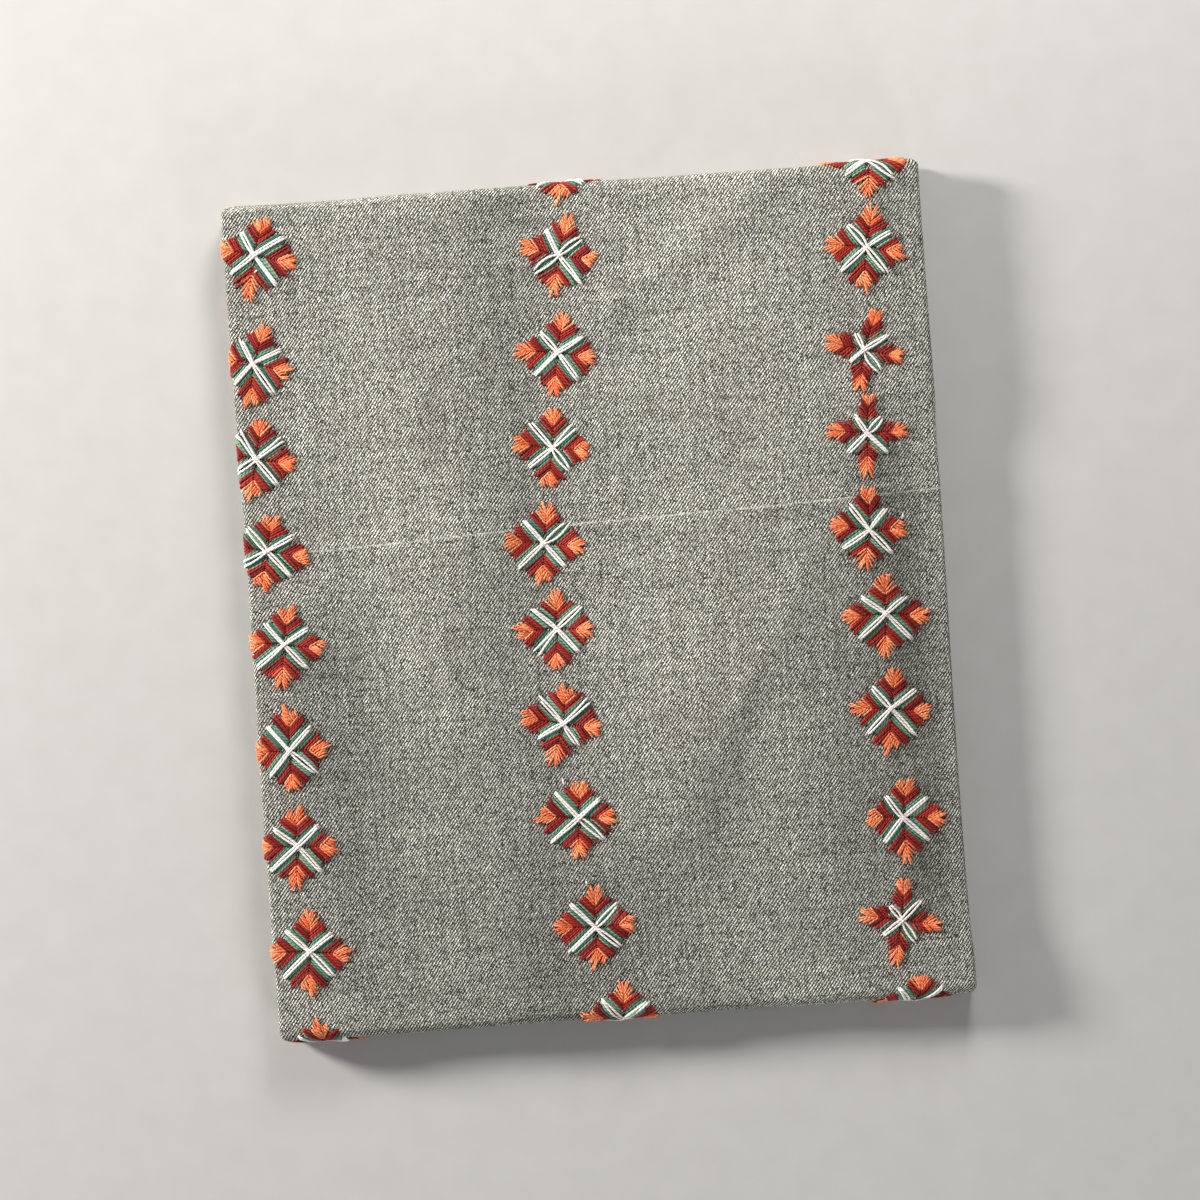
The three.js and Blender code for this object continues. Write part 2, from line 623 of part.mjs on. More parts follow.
const shawl = new THREE.Group();
shawl.name = 'wool_shawl';
shawl.add(toMesh('front_panel', shawlCloth, 0x929186, 0.95));
shawl.add(toMesh('hidden_layers', hiddenLayers, 0x86857b, 0.95));

export default shawl;
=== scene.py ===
# %% [markdown]
# # A folded wool shawl
# The shawl is one length of heather grey twill, embroidered by hand with diamonds of
# coloured yarn, and folded flat into a packet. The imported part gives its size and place.
# Everything here is laid on the same line that the part's cloth wall follows, so each
# thread goes round the folds with the cloth.

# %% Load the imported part
import math
from functools import partial
import bpy
import numpy as np
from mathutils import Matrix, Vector


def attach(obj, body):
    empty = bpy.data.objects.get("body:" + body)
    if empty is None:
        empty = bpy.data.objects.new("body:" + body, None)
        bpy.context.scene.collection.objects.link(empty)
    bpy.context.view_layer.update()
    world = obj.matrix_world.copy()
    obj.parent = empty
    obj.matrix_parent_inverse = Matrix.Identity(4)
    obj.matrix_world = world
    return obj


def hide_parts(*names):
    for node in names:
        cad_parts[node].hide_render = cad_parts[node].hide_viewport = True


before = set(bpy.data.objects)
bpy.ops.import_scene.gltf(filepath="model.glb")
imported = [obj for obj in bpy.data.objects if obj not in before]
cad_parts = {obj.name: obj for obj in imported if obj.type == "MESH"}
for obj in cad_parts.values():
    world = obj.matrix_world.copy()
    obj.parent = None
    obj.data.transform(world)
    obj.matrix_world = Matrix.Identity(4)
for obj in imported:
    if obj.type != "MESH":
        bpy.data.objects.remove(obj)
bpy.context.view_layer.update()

MM = 0.001

# %% [markdown]
# ## The shape of the folded cloth
# A cloth this size could be dropped and folded by simulation, but fifteen layers would
# push through each other. It is quicker and truer to follow a folded sheet's own rules:
# a point of cloth is "across" and "along" on the flat cloth, and one function says where
# it lies in the packet. The numbers are the part's own, in millimetres.

# %% Sizes of the packet
CUT_WIDE, CUT_LONG = 1016, 2032
FOLDS_ACROSS, FOLDS_ALONG = 3, 5
HALF_WIDE, HALF_LONG = CUT_WIDE / FOLDS_ACROSS / 2, CUT_LONG / FOLDS_ALONG / 2
WALL, STRIP_PITCH = 1.15, 3.75
HIGH = FOLDS_ALONG * STRIP_PITCH
SIDE_RADIUS, TIGHT_RADIUS, SIDE_LIP = 1.85, 1.45, 1.5
FAR_FOLDS_APART = 0.4
UPPER_LOW = 2 * STRIP_PITCH + FAR_FOLDS_APART / 2
LOWER_HIGH = 2 * STRIP_PITCH - FAR_FOLDS_APART / 2
UPPER_RADIUS, LOWER_RADIUS, NEAR_RADIUS = (HIGH - UPPER_LOW) / 2, LOWER_HIGH / 2, 6.5
UPPER_CENTRE = HALF_LONG - UPPER_RADIUS
LOWER_FOLD_BACK, TAIL_BACK = 1.4, 25
LOWER_CENTRE = HALF_LONG - LOWER_FOLD_BACK - LOWER_RADIUS
NEAR_CENTRE = NEAR_RADIUS - HALF_LONG
TAIL_END = HALF_LONG - TAIL_BACK
UPPER_START = UPPER_CENTRE + math.pi * UPPER_RADIUS
SIDE_START = NEAR_CENTRE - math.pi / 2 * NEAR_RADIUS
SIDE_STOP = SIDE_START - (HIGH - 2 * NEAR_RADIUS)
UNDER_START = SIDE_STOP - math.pi / 2 * NEAR_RADIUS
LOWER_START = UNDER_START - (LOWER_CENTRE - NEAR_CENTRE)
LOWER_STOP = LOWER_START - math.pi * LOWER_RADIUS
PATH_START = UPPER_START + (UPPER_CENTRE - TAIL_END)
PATH_STOP = LOWER_STOP - (LOWER_CENTRE - TAIL_END)
# On the underside the rolled side grows tighter between these distances past the middle.
TIGHT_FROM, TIGHT_FULL = 560, 600
print(f"cloth that shows: {PATH_START - PATH_STOP:.0f} mm along")

# %% Soft rolls that run down through the layers
# The rolls are the part's own. Columns: x and y where one starts, x and y where it ends,
# half width, height.
ROLLS = [
    (-88, 190, -92, -60, 26, 1.3), (-30, 180, -24, -10, 22, -1.1),
    (84, 200, 28, -110, 30, 1.25), (92, 193, 5, 131, 11, 0.75),
    (95, -2, 42, -95, 13, 0.85), (72, -60, 66, -130, 20, -0.8),
    (-120, -40, -104, -190, 22, -0.95), (155, 60, 158, -150, 16, -0.9),
    (-60, -60, -48, -185, 24, 0.75), (10, -150, 70, -196, 20, -0.7),
    (-135, 33, 168, 43, 5, 0.4), (150, 190, 164, 100, 16, 0.6),
]

# The part keeps its rolls low. Here they stand higher, by ROLL_GAIN, and broad swells of
# the whole stack, with the same columns, are added, so that a raking lamp shades them.
SWELLS = [
    (-84, 200, -84, -20, 30, 0.9), (-4, 200, -10, -60, 32, -1.6),
    (108, 200, 84, -150, 46, 1.7), (174, 70, 174, -150, 26, -2.4),
    (-112, -10, -108, -140, 28, -1.7), (172, 200, 172, 100, 22, -1.1),
    (-172, 190, -172, 90, 18, 0.9), (0, -150, 60, -200, 24, -0.8),
]
ROLL_GAIN = 1.9
# The far and near ends are drawn in over this radius, and the outline sways: height, length
# of a wave and its start, for the sides and for the ends.
END_RADIUS, END_FROM = 5.5, HALF_LONG - 4.5
SIDE_SWAY, END_SWAY = (0.4, 262, 0.7), (0.4, 214, 2.1)


def ease(low, high, value):
    """0 below the low value and 1 above the high one, with a smooth step between them."""
    t = np.clip((value - low) / (high - low), 0, 1)
    return t * t * (3 - 2 * t)


def ridge(row, x, y, fade=34.0):
    """A soft ridge along a line, bell-shaped across and fading past its two ends."""
    x1, y1, x2, y2, half, height = row
    dx, dy = x2 - x1, y2 - y1
    long = math.hypot(dx, dy)
    along = ((x - x1) * dx + (y - y1) * dy) / long
    aside = ((x - x1) * dy - (y - y1) * dx) / long
    ends = ease(-fade, 0, along) * (1 - ease(long, long + fade, along))
    return height * ends * np.exp(-((aside / half) ** 2))


def wave(row, place):
    height, long, begin = row
    return height * np.sin(2 * np.pi * place / long + begin)


def soften(x, y, z):
    """Moves a point of the flat stack by the rolls, the swells and the outline's sway."""
    lift = ROLL_GAIN * sum(ridge(row, x, y) for row in ROLLS)
    lift = lift + sum(ridge(row, x, y) for row in SWELLS)
    past = np.maximum(0, np.abs(y) - END_FROM)
    drawn = END_RADIUS - np.sqrt(np.maximum(0, END_RADIUS**2 - past**2))
    sway_x, sway_y = wave(SIDE_SWAY, y), wave(END_SWAY, x)
    return x * (1 - drawn / HALF_WIDE) + sway_x, y + sway_y, z * (1 + lift / HIGH)


# %% Where a point of the flat cloth lies in the packet
def path_at(v):
    """Place and outward direction (y, z, ny, nz) of the cloth at a distance along it."""
    upper = (v - UPPER_CENTRE) / UPPER_RADIUS
    near = (NEAR_CENTRE - v) / NEAR_RADIUS
    foot = (SIDE_STOP - v) / NEAR_RADIUS
    lower = (LOWER_START - v) / LOWER_RADIUS
    zero, one = np.zeros_like(v), np.ones_like(v)
    starts = (UPPER_START, UPPER_CENTRE, NEAR_CENTRE, SIDE_START, SIDE_STOP, UNDER_START,
              LOWER_START, LOWER_STOP)
    spans = [v >= start for start in starts]
    ny = [zero, np.sin(upper), zero, -np.sin(near), -one, -np.cos(foot), zero, np.sin(lower)]
    nz = [-one, np.cos(upper), one, np.cos(near), zero, -np.sin(foot), -one, -np.cos(lower)]
    ny, nz = np.select(spans, ny, zero), np.select(spans, nz, one)
    y = [UPPER_CENTRE - (v - UPPER_START), UPPER_CENTRE + UPPER_RADIUS * ny, v,
         NEAR_CENTRE + NEAR_RADIUS * ny, -HALF_LONG * one, NEAR_CENTRE + NEAR_RADIUS * ny,
         NEAR_CENTRE + UNDER_START - v, LOWER_CENTRE + LOWER_RADIUS * ny]
    z = [UPPER_LOW * one, HIGH - UPPER_RADIUS * (1 - nz), HIGH * one,
         HIGH - NEAR_RADIUS * (1 - nz), HIGH - NEAR_RADIUS - (SIDE_START - v),
         NEAR_RADIUS * (1 + nz), zero, LOWER_RADIUS * (1 + nz)]
    y = np.select(spans, y, LOWER_CENTRE - (LOWER_STOP - v))
    return y, np.select(spans, z, LOWER_HIGH * one), ny, nz


def side_radius(v):
    return SIDE_RADIUS + (TIGHT_RADIUS - SIDE_RADIUS) * ease(TIGHT_FROM, TIGHT_FULL, -v)


def across_at(u, radius):
    """Place across, depth under the face, and outward direction: the sides roll under."""
    flat = HALF_WIDE - radius
    side = np.sign(u)
    past = np.abs(u) - flat
    turn = np.clip(past / radius, 0, math.pi)
    x = np.where(past <= 0, u, side * (flat + radius * np.sin(turn)))
    x = np.where(past > math.pi * radius, side * (flat - (past - math.pi * radius)), x)
    return x, radius * (1 - np.cos(turn)), side * np.sin(turn), np.cos(turn)


def cloth_point(u, v, rise):
    """Where a point of flat cloth lies in the packet, raised from its face."""
    u, v, rise = np.broadcast_arrays(*(np.asarray(a, float) for a in (u, v, rise)))
    y, z, ny, nz = path_at(v)
    x, depth, nx, nd = across_at(u, side_radius(v))
    out = rise * nd - depth
    return np.stack(soften(x + rise * nx, y + ny * out, z + nz * out), axis=-1)


# %% [markdown]
# ## The embroidered diamonds: where they lie
# Each diamond was sewn by counting threads by eye, so no two are alike and the columns
# wander. A short table holds each one's crossing, the reach of its four petals and its
# turn; its stitches are laid out later by rule, with small seeded slips.

# %% Table of diamonds
# Columns: across, along, reach of the up, down, left and right petals, turn, style.
FULL, STAR = 0, 1
DIAMONDS = [
    (-158.0, 228.0, 12.8, 12.0, 13.0, 12.8, -5, FULL), (-154.4, 178.5, 10.9, 16.4, 11.6, 14.0, -12, FULL),
    (-158.7, 126.3, 12.9, 14.2, 12.6, 13.2, -14, FULL), (-161.0, 79.9, 12.6, 14.2, 12.6, 12.6, -8, FULL),
    (-159.0, 35.0, 11.6, 13.6, 12.4, 12.6, -11, FULL), (-153.8, -10.7, 12.9, 15.0, 12.0, 12.2, -5, FULL),
    (-154.4, -62.0, 15.2, 12.9, 11.6, 13.5, 0, FULL), (-153.5, -108.2, 13.4, 15.0, 11.6, 13.1, -4, FULL),
    (-151.8, -159.6, 13.1, 16.4, 13.0, 13.9, -5, FULL), (-150.7, -212.0, 14.4, 14.5, 13.0, 12.8, -2, FULL),
    (-4.0, 211.4, 12.8, 13.9, 13.0, 12.8, -4, FULL), (-7.3, 167.7, 13.8, 13.5, 13.2, 10.9, -10, FULL),
    (-11.4, 120.8, 12.9, 14.0, 13.8, 12.4, -9, FULL), (-17.5, 74.8, 12.8, 12.8, 13.2, 11.6, -9, FULL),
    (-24.8, 29.1, 13.7, 13.9, 13.0, 12.9, -5, FULL), (-21.6, -12.8, 12.6, 13.1, 13.8, 11.8, -2, FULL),
    (-21.2, -58.9, 13.2, 14.0, 13.2, 12.6, -3, FULL), (-16.7, -104.8, 12.0, 12.9, 14.7, 12.5, -4, FULL),
    (-12.6, -158.3, 13.2, 13.6, 13.0, 12.6, -2, FULL), (-3.4, -204.3, 13.0, 14.5, 13.0, 12.8, -3, FULL),
    (145.8, 203.8, 12.8, 12.9, 13.0, 12.8, -4, FULL), (141.2, 161.4, 14.0, 15.1, 13.4, 13.5, -5, FULL),
    (136.4, 111.7, 13.4, 12.6, 12.2, 12.4, -3, STAR), (134.9, 71.5, 11.9, 13.7, 12.6, 12.8, -2, STAR),
    (132.3, 24.9, 13.8, 13.6, 12.4, 12.4, -6, FULL), (137.8, -16.1, 12.8, 14.3, 14.1, 14.7, -2, FULL),
    (137.5, -62.2, 12.9, 16.0, 13.3, 13.1, -7, FULL), (139.6, -115.0, 12.4, 15.4, 12.0, 14.2, -3, FULL),
    (135.2, -164.7, 12.8, 14.6, 13.1, 12.8, -3, STAR), (141.2, -208.6, 10.9, 14.5, 13.0, 12.8, 0, FULL),
    (-152.0, -618.5, 12.8, 14.5, 13.0, 12.8, -3, FULL), (-12.0, -629.0, 12.8, 14.5, 13.0, 12.8, 4, FULL),
    (139.0, -623.0, 12.8, 14.5, 13.0, 12.8, -2, FULL),
]
print("diamonds", len(DIAMONDS))

# %% [markdown]
# ## Small creases and puckers
# Over the soft rolls lie shallow creases from earlier foldings, and the cloth draws in a
# little round each sewn diamond. They are placed as soft ridges and troughs, each with its
# own size, and are added to the cloth's height, so that the yarn rides on them.

# %% Creases
# Columns: x and y where it starts, x and y where it ends, half width, height.
CREASES = [
    (91, 193, 40, 158, 4.5, 0.34), (44, 160, 5, 131, 3.4, 0.26),
    (95, -2, 66, -52, 4.0, 0.32), (68, -50, 42, -95, 3.0, 0.24),
    (-58, 150, -66, 20, 7.0, 0.30), (-104, 120, -98, -20, 6.0, -0.22),
    (-72, -70, -88, -170, 6.0, -0.28), (-40, -110, -34, -190, 5.0, 0.22),
    (24, 60, 12, -60, 5.5, -0.2), (60, 120, 44, 30, 6.0, 0.24),
    (104, 150, 98, 60, 5.0, -0.24), (112, -40, 104, -150, 6.5, 0.26),
    (84, -120, 60, -190, 5.0, -0.26), (-124, 60, -120, -60, 5.0, 0.2),
    (-130, -120, -92, -150, 3.2, 0.2), (20, -96, 52, -132, 3.0, 0.18),
    (-96, 184, -60, 172, 3.6, -0.18), (150, 96, 164, 44, 4.0, 0.2),
    (166, 70, 168, -170, 12.0, -0.7), (-60, 60, -50, -60, 8.0, -0.3),
    (40, 30, 30, -90, 9.0, 0.35),
]
CREASE_FADE = 16.0
# Where the cloth rests on the floor it is drawn in by REST_LIFT, to leave room for the yarn.
REST_LIFT = 0.42
NEAR_EASE, FAR_EASE = 7, 5
# Round a diamond the cloth puckers in a ring, and under its yarn it is pressed in.
PUCKER_RING, PUCKER_WIDE, PUCKER_HIGH, PUCKER_WAVE = 21.5, 5.0, 0.10, 0.13
SEWN_RADIUS, SEWN_DEPTH = 13.0, 0.16


def shown_at(v):
    """1 where the cloth stands clear of the floor, easing to 0 where it rests flat."""
    near = ease(UNDER_START, UNDER_START + NEAR_EASE, v)
    far = ease(-LOWER_START, FAR_EASE - LOWER_START, -v)
    return np.clip(near + far, 0, 1)


def cloth_relief(u, v):
    """Height of creases and puckers over the smooth cloth, drawn in a little where it rests."""
    u, v = np.broadcast_arrays(np.asarray(u, float), np.asarray(v, float))
    height = sum(ridge(row, u, v, CREASE_FADE) for row in CREASES)
    for across, along, *_, turn, _ in DIAMONDS:
        du, dv = u - across, v - along
        near = np.hypot(du, dv)
        angle = np.arctan2(dv, du) - math.radians(turn)
        ring = np.exp(-((near - PUCKER_RING) / PUCKER_WIDE) ** 2)
        height = height + ring * (PUCKER_HIGH + PUCKER_WAVE * np.cos(4 * angle + 0.4))
        height = height - SEWN_DEPTH * np.exp(-((near / SEWN_RADIUS) ** 4))
    shown = shown_at(v)
    return height * shown - REST_LIFT * (1 - shown)


# %% Painted fold shade
# Painted shade and painted light of the folds, in broad bands beyond what the relief shades.
# Columns: x and y where a band starts, x and y where it ends, half width, share of tone.
PAINTED_FOLD_SHADE = [
    (-30, 190, -32, -190, 18, -0.15), (-142, -20, -134, -120, 26, -0.2),
    (146, 40, 150, -150, 28, -0.32), (44, 172, 40, 124, 18, 0.15),
    (-94, 30, -94, -10, 14, 0.12), (50, 30, 50, -10, 14, 0.14),
    (-110, -170, 110, -165, 40, -0.1), (-84, -100, -60, -190, 26, -0.08),
    (-96, 130, -84, 60, 22, 0.1), (-62, 190, -60, 60, 14, 0.08),
    (90, 96, 88, 50, 12, 0.12), (-114, -46, -112, -70, 16, -0.14),
    (166, 70, 166, 0, 14, 0.14), (112, -50, 110, -110, 20, -0.1),
    (88, 180, 92, 40, 40, 0.12), (-84, 60, -82, -40, 22, 0.1),
    (30, 10, 44, -40, 20, 0.1), (134, 190, 132, 60, 12, -0.08),
    (10, -150, -8, -196, 16, -0.12), (60, -176, 90, -190, 20, 0.14),
]
FOLD_SHADE_FADE = 40.0


def set_painted_fold_shade(piece, flat_map):
    """Writes the painted shade and light of the folds on a piece's vertices, for the wool to read."""
    u, v = np.asarray(flat_map, float).T
    tone = 1 + sum(ridge(row, u, v, FOLD_SHADE_FADE) for row in PAINTED_FOLD_SHADE)
    layer = piece.data.attributes.new("painted_fold_shade", "FLOAT", "POINT")
    layer.data.foreach_set("value", tone.astype(np.float32))


# %% Helper: a mesh from a grid or from strands
def mesh_piece(name, points, faces, flat_map, material):
    """A piece that rides on the part's body. Every row of faces has the same corners."""
    mesh = bpy.data.meshes.new(name)
    count, corners = faces.shape
    loops = faces.ravel()
    mesh.vertices.add(len(points))
    mesh.vertices.foreach_set("co", (points * MM).astype(np.float32).ravel())
    mesh.loops.add(len(loops))
    mesh.polygons.add(count)
    mesh.loops.foreach_set("vertex_index", loops.astype(np.int32))
    mesh.polygons.foreach_set("loop_start", (np.arange(count) * corners).astype(np.int32))
    mesh.update(calc_edges=True)
    layer = mesh.uv_layers.new(name="cloth_mm")
    layer.data.foreach_set("uv", flat_map.astype(np.float32)[loops].ravel())
    mesh.polygons.foreach_set("use_smooth", np.full(count, True))
    mesh.materials.append(material)
    mesh.validate()
    piece = bpy.data.objects.new(name, mesh)
    bpy.context.scene.collection.objects.link(piece)
    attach(piece, "root")
    print(f"{name}: {count} faces, {count * (corners - 2)} triangles")
    return piece


def grid_faces(rows, columns, closed=False):
    """Four-cornered faces of a grid of points, whose rows close into rings on request."""
    across = np.arange(columns if closed else columns - 1)
    i, j = np.meshgrid(np.arange(rows - 1), across, indexing="ij")
    k = (j + 1) % columns
    low, high = i * columns, (i + 1) * columns
    return np.stack([low + j, low + k, high + k, high + j], axis=-1).reshape(-1, 4)


# %% [markdown]
# ## Shader groups
# Two effects carry the materials here: the cloth's woven twill, and the plied yarn of all
# four colours. Each is a small node group, built from plain arithmetic on millimetres of
# cloth or yarn, because a weave is a rule of which thread lies on top. Groups put out only
# masks, tones and heights.

# %% Helper: arithmetic in a node tree
def feed(tree, sockets, values):
    """Gives each socket, in order, a number, a colour or the output of another node."""
    for socket, value in zip(sockets, values):
        if isinstance(value, (int, float, tuple)):
            socket.default_value = value
        else:
            tree.links.new(value, socket)


def calc(tree, operation, *values):
    node = tree.nodes.new("ShaderNodeMath")
    node.operation = operation
    feed(tree, node.inputs, values)
    return node.outputs[0]


def sums(tree):
    """The commonest sums of a node tree, to be called plus, minus, times, over and floor."""
    return [partial(calc, tree, word) for word in ("ADD", "SUBTRACT", "MULTIPLY", "DIVIDE", "FLOOR")]


def scaled(tree, value, gain, lift=0.0):
    """The value times a gain, plus a lift."""
    return calc(tree, "MULTIPLY_ADD", value, gain, lift)


def blend_value(tree, share, low, high):
    node = tree.nodes.new("ShaderNodeMix")
    node.data_type = "FLOAT"
    feed(tree, (node.inputs[0], node.inputs[2], node.inputs[3]), (share, low, high))
    return node.outputs[0]


def cell_noise(tree, x, y):
    join = tree.nodes.new("ShaderNodeCombineXYZ")
    feed(tree, join.inputs, (x, y))
    node = tree.nodes.new("ShaderNodeTexWhiteNoise")
    node.noise_dimensions = "2D"
    tree.links.new(join.outputs[0], node.inputs["Vector"])
    return node.outputs["Value"]


def soft_noise(tree, vector, scale, detail=2.0, stretch=(1, 1, 1)):
    place = tree.nodes.new("ShaderNodeMapping")
    place.inputs["Scale"].default_value = stretch
    tree.links.new(vector, place.inputs["Vector"])
    node = tree.nodes.new("ShaderNodeTexNoise")
    node.inputs["Scale"].default_value = scale
    node.inputs["Detail"].default_value = detail
    tree.links.new(place.outputs[0], node.inputs["Vector"])
    return node.outputs["Fac"]


def new_group(name, inputs, outputs):
    tree = bpy.data.node_groups.new(name, "ShaderNodeTree")
    for title, kind, value in inputs:
        socket = tree.interface.new_socket(name=title, in_out="INPUT", socket_type=kind)
        if value is not None:
            socket.default_value = value
    for title in outputs:
        tree.interface.new_socket(name=title, in_out="OUTPUT", socket_type="NodeSocketFloat")
    return tree, tree.nodes.new("NodeGroupInput"), tree.nodes.new("NodeGroupOutput")


# %% The twill weave as a group
# In a 2/2 twill each warp end floats over two picks, one step up from its neighbour, and
# the floats line up as slanted wales. Lengths are in millimetres.
WAVER_GAIN, UNEVEN_MM, PICK_SLANT = 4.0, 0.4, 0.03
LONG_END, LONG_PICK, PALE_HALF_WIDE, PIT_SHADE_SHARE = 70.0, 60.0, 0.75, 0.18


def make_twill_group():
    tree, given, put = new_group("twill_weave", [
        ("Cloth mm", "NodeSocketVector", None), ("End pitch", "NodeSocketFloat", 0.41),
        ("Pick pitch", "NodeSocketFloat", 0.52), ("Waver", "NodeSocketFloat", 0.16),
        ("Fleck length", "NodeSocketFloat", 1.4), ("Pale pick at", "NodeSocketFloat", 37.5),
    ], ["Warp up", "Height", "End tone", "Pick tone", "Thread line", "Pale pick", "Pit shade",
        "Crossing tone"])
    plus, minus, times, over, floor = sums(tree)
    place = given.outputs["Cloth mm"]
    split = tree.nodes.new("ShaderNodeSeparateXYZ")
    tree.links.new(place, split.inputs[0])
    across, along = split.outputs[0], split.outputs[1]

    # The threads waver over centimetres, are uneven from thread to thread, and the picks slant.
    def around_nought(noise, size):
        return times(minus(noise, 0.5), size)

    waver = times(given.outputs["Waver"], WAVER_GAIN)
    drift_u = around_nought(soft_noise(tree, place, 0.11), waver)
    drift_v = around_nought(soft_noise(tree, place, 0.13, 2, (1, 0.7, 1)), waver)
    uneven = around_nought(soft_noise(tree, place, 0.75, 2), UNEVEN_MM)
    u = plus(plus(across, uneven), drift_u)
    v = minus(plus(minus(along, uneven), drift_v), times(across, PICK_SLANT))
    end, pick = over(u, given.outputs["End pitch"]), over(v, given.outputs["Pick pitch"])
    i, j = floor(end), floor(pick)
    fu, fv = minus(end, i), minus(pick, j)
    step = calc(tree, "FLOORED_MODULO", minus(i, j), 4.0)
    warp_up = calc(tree, "LESS_THAN", step, 1.5)

    def swell(value):
        return calc(tree, "SINE", times(value, math.pi))

    def float_height(beside, onward):
        return times(swell(beside), scaled(tree, swell(onward), 0.75, 0.25))

    warp_on = times(plus(fv, minus(1.0, step)), 0.5)
    weft_on = times(plus(fu, minus(step, 2.0)), 0.5)
    height = blend_value(tree, warp_up, times(float_height(fv, weft_on), 0.8),
                         float_height(fu, warp_on))

    def stretch_of(run, thread, slip, long):
        """Which stretch of a thread a point lies on. Stretches slip from thread to thread."""
        return floor(over(plus(run, times(thread, slip)), long))

    length = given.outputs["Fleck length"]
    end_tone = cell_noise(tree, i, stretch_of(v, i, 1.37, length))
    pick_tone = cell_noise(tree, stretch_of(u, j, 2.11, length), j)
    long_end = cell_noise(tree, i, stretch_of(v, i, 7.7, LONG_END))
    long_pick = cell_noise(tree, stretch_of(u, j, 9.3, LONG_PICK), j)
    line = times(plus(long_end, long_pick), 0.5)
    off_line = calc(tree, "ABSOLUTE", minus(v, given.outputs["Pale pick at"]))
    pale = calc(tree, "MAXIMUM", minus(1.0, over(off_line, PALE_HALF_WIDE)), 0.0)
    pale = times(pale, times(soft_noise(tree, place, 0.05, 3), 1.15))
    crossing = cell_noise(tree, i, j)
    # Some crossings are pits, darkened in the cloth's colour as painted shade.
    pit_shade = calc(tree, "LESS_THAN", crossing, PIT_SHADE_SHARE)
    feed(tree, put.inputs, (warp_up, height, end_tone, pick_tone, line, pale, pit_shade, crossing))
    return tree


TWILL = make_twill_group()
print("group", TWILL.name)


# %% The plied yarn as a group
# Embroidery yarn is two or three strands twisted together. A strand's map holds millimetres
# along the stitch in x, and in y the stitch's number plus the share of the way round it.
def make_yarn_group():
    tree, given, put = new_group("plied_yarn", [
        ("Strand map", "NodeSocketVector", None), ("Twist length", "NodeSocketFloat", 2.1),
        ("Plies", "NodeSocketFloat", 2.0),
    ], ["Ply height", "Stitch tone", "Fibre"])
    split = tree.nodes.new("ShaderNodeSeparateXYZ")
    tree.links.new(given.outputs["Strand map"], split.inputs[0])
    along, number = split.outputs[0], split.outputs[1]
    plus, minus, times, over, floor = sums(tree)
    number_only = floor(number)
    twist = plus(over(along, given.outputs["Twist length"]),
                 times(minus(number, number_only), given.outputs["Plies"]))
    ply = calc(tree, "ABSOLUTE", calc(tree, "SINE", times(twist, math.pi)))
    tone = cell_noise(tree, number_only, number_only)
    fibre = soft_noise(tree, given.outputs["Strand map"], 2.2, 3, (0.5, 9, 1))
    feed(tree, put.inputs, (ply, tone, fibre))
    return tree


YARN = make_yarn_group()
print("group", YARN.name)

# %% [markdown]
# ## The wool twill's finish
# The cloth reads as grey from afar, but each thread is a melange: pale oatmeal ends cross
# darker grey-green picks, with flecks along them. So colour comes from which thread is on
# top, then from each thread's own tone; painted shade darkens the gaps between floats and the
# pits, and broad bands of painted fold shade lie over it all. A soft nap gives wool its sheen,
# which is set on the shader itself.


# %% Materials
def linear(level):
    """A screen level from 0 to 255 as the linear light that a shader takes."""
    share = level / 255
    return ((share + 0.055) / 1.055) ** 2.4 if level > 10 else share / 12.92


def rgb(*levels):
    return (*map(linear, levels), 1.0)


def colour_mix(tree, share, low, high, kind="MIX"):
    node = tree.nodes.new("ShaderNodeMix")
    node.data_type = "RGBA"
    node.blend_type = kind
    feed(tree, (node.inputs[0], node.inputs[6], node.inputs[7]), (share, low, high))
    return node.outputs[2]


def shade(tree, colour, level):
    """The colour darkened or lightened by a level, as if times a grey."""
    grey = tree.nodes.new("ShaderNodeCombineColor")
    feed(tree, grey.inputs, (level, level, level))
    return colour_mix(tree, 1.0, colour, grey.outputs[0], "MULTIPLY")


def new_material(name, roughness, sheen):
    material = bpy.data.materials.new(name)
    material.use_nodes = True
    shader = material.node_tree.nodes["Principled BSDF"]
    shader.inputs["Roughness"].default_value = roughness
    shader.inputs["Specular IOR Level"].default_value = 0.25
    shader.inputs["Sheen Weight"].default_value = sheen
    shader.inputs["Sheen Roughness"].default_value = 0.5
    return material, material.node_tree, shader


def place_group(tree, group):
    """A group fed by the piece's own map in millimetres, and that map."""
    node = tree.nodes.new("ShaderNodeGroup")
    node.node_tree = group
    chart = tree.nodes.new("ShaderNodeUVMap")
    chart.uv_map = "cloth_mm"
    tree.links.new(chart.outputs[0], node.inputs[0])
    return node, chart.outputs[0]


def add_bump(tree, shader, layers):
    """Bumps one upon the other. Each layer is a height, a strength and a depth in mm."""
    last = None
    for height, strength, distance in layers:
        bump = tree.nodes.new("ShaderNodeBump")
        bump.inputs["Strength"].default_value = strength
        bump.inputs["Distance"].default_value = distance * MM
        tree.links.new(height, bump.inputs["Height"])
        if last is not None:
            tree.links.new(last, bump.inputs["Normal"])
        last = bump.outputs[0]
    tree.links.new(last, shader.inputs["Normal"])


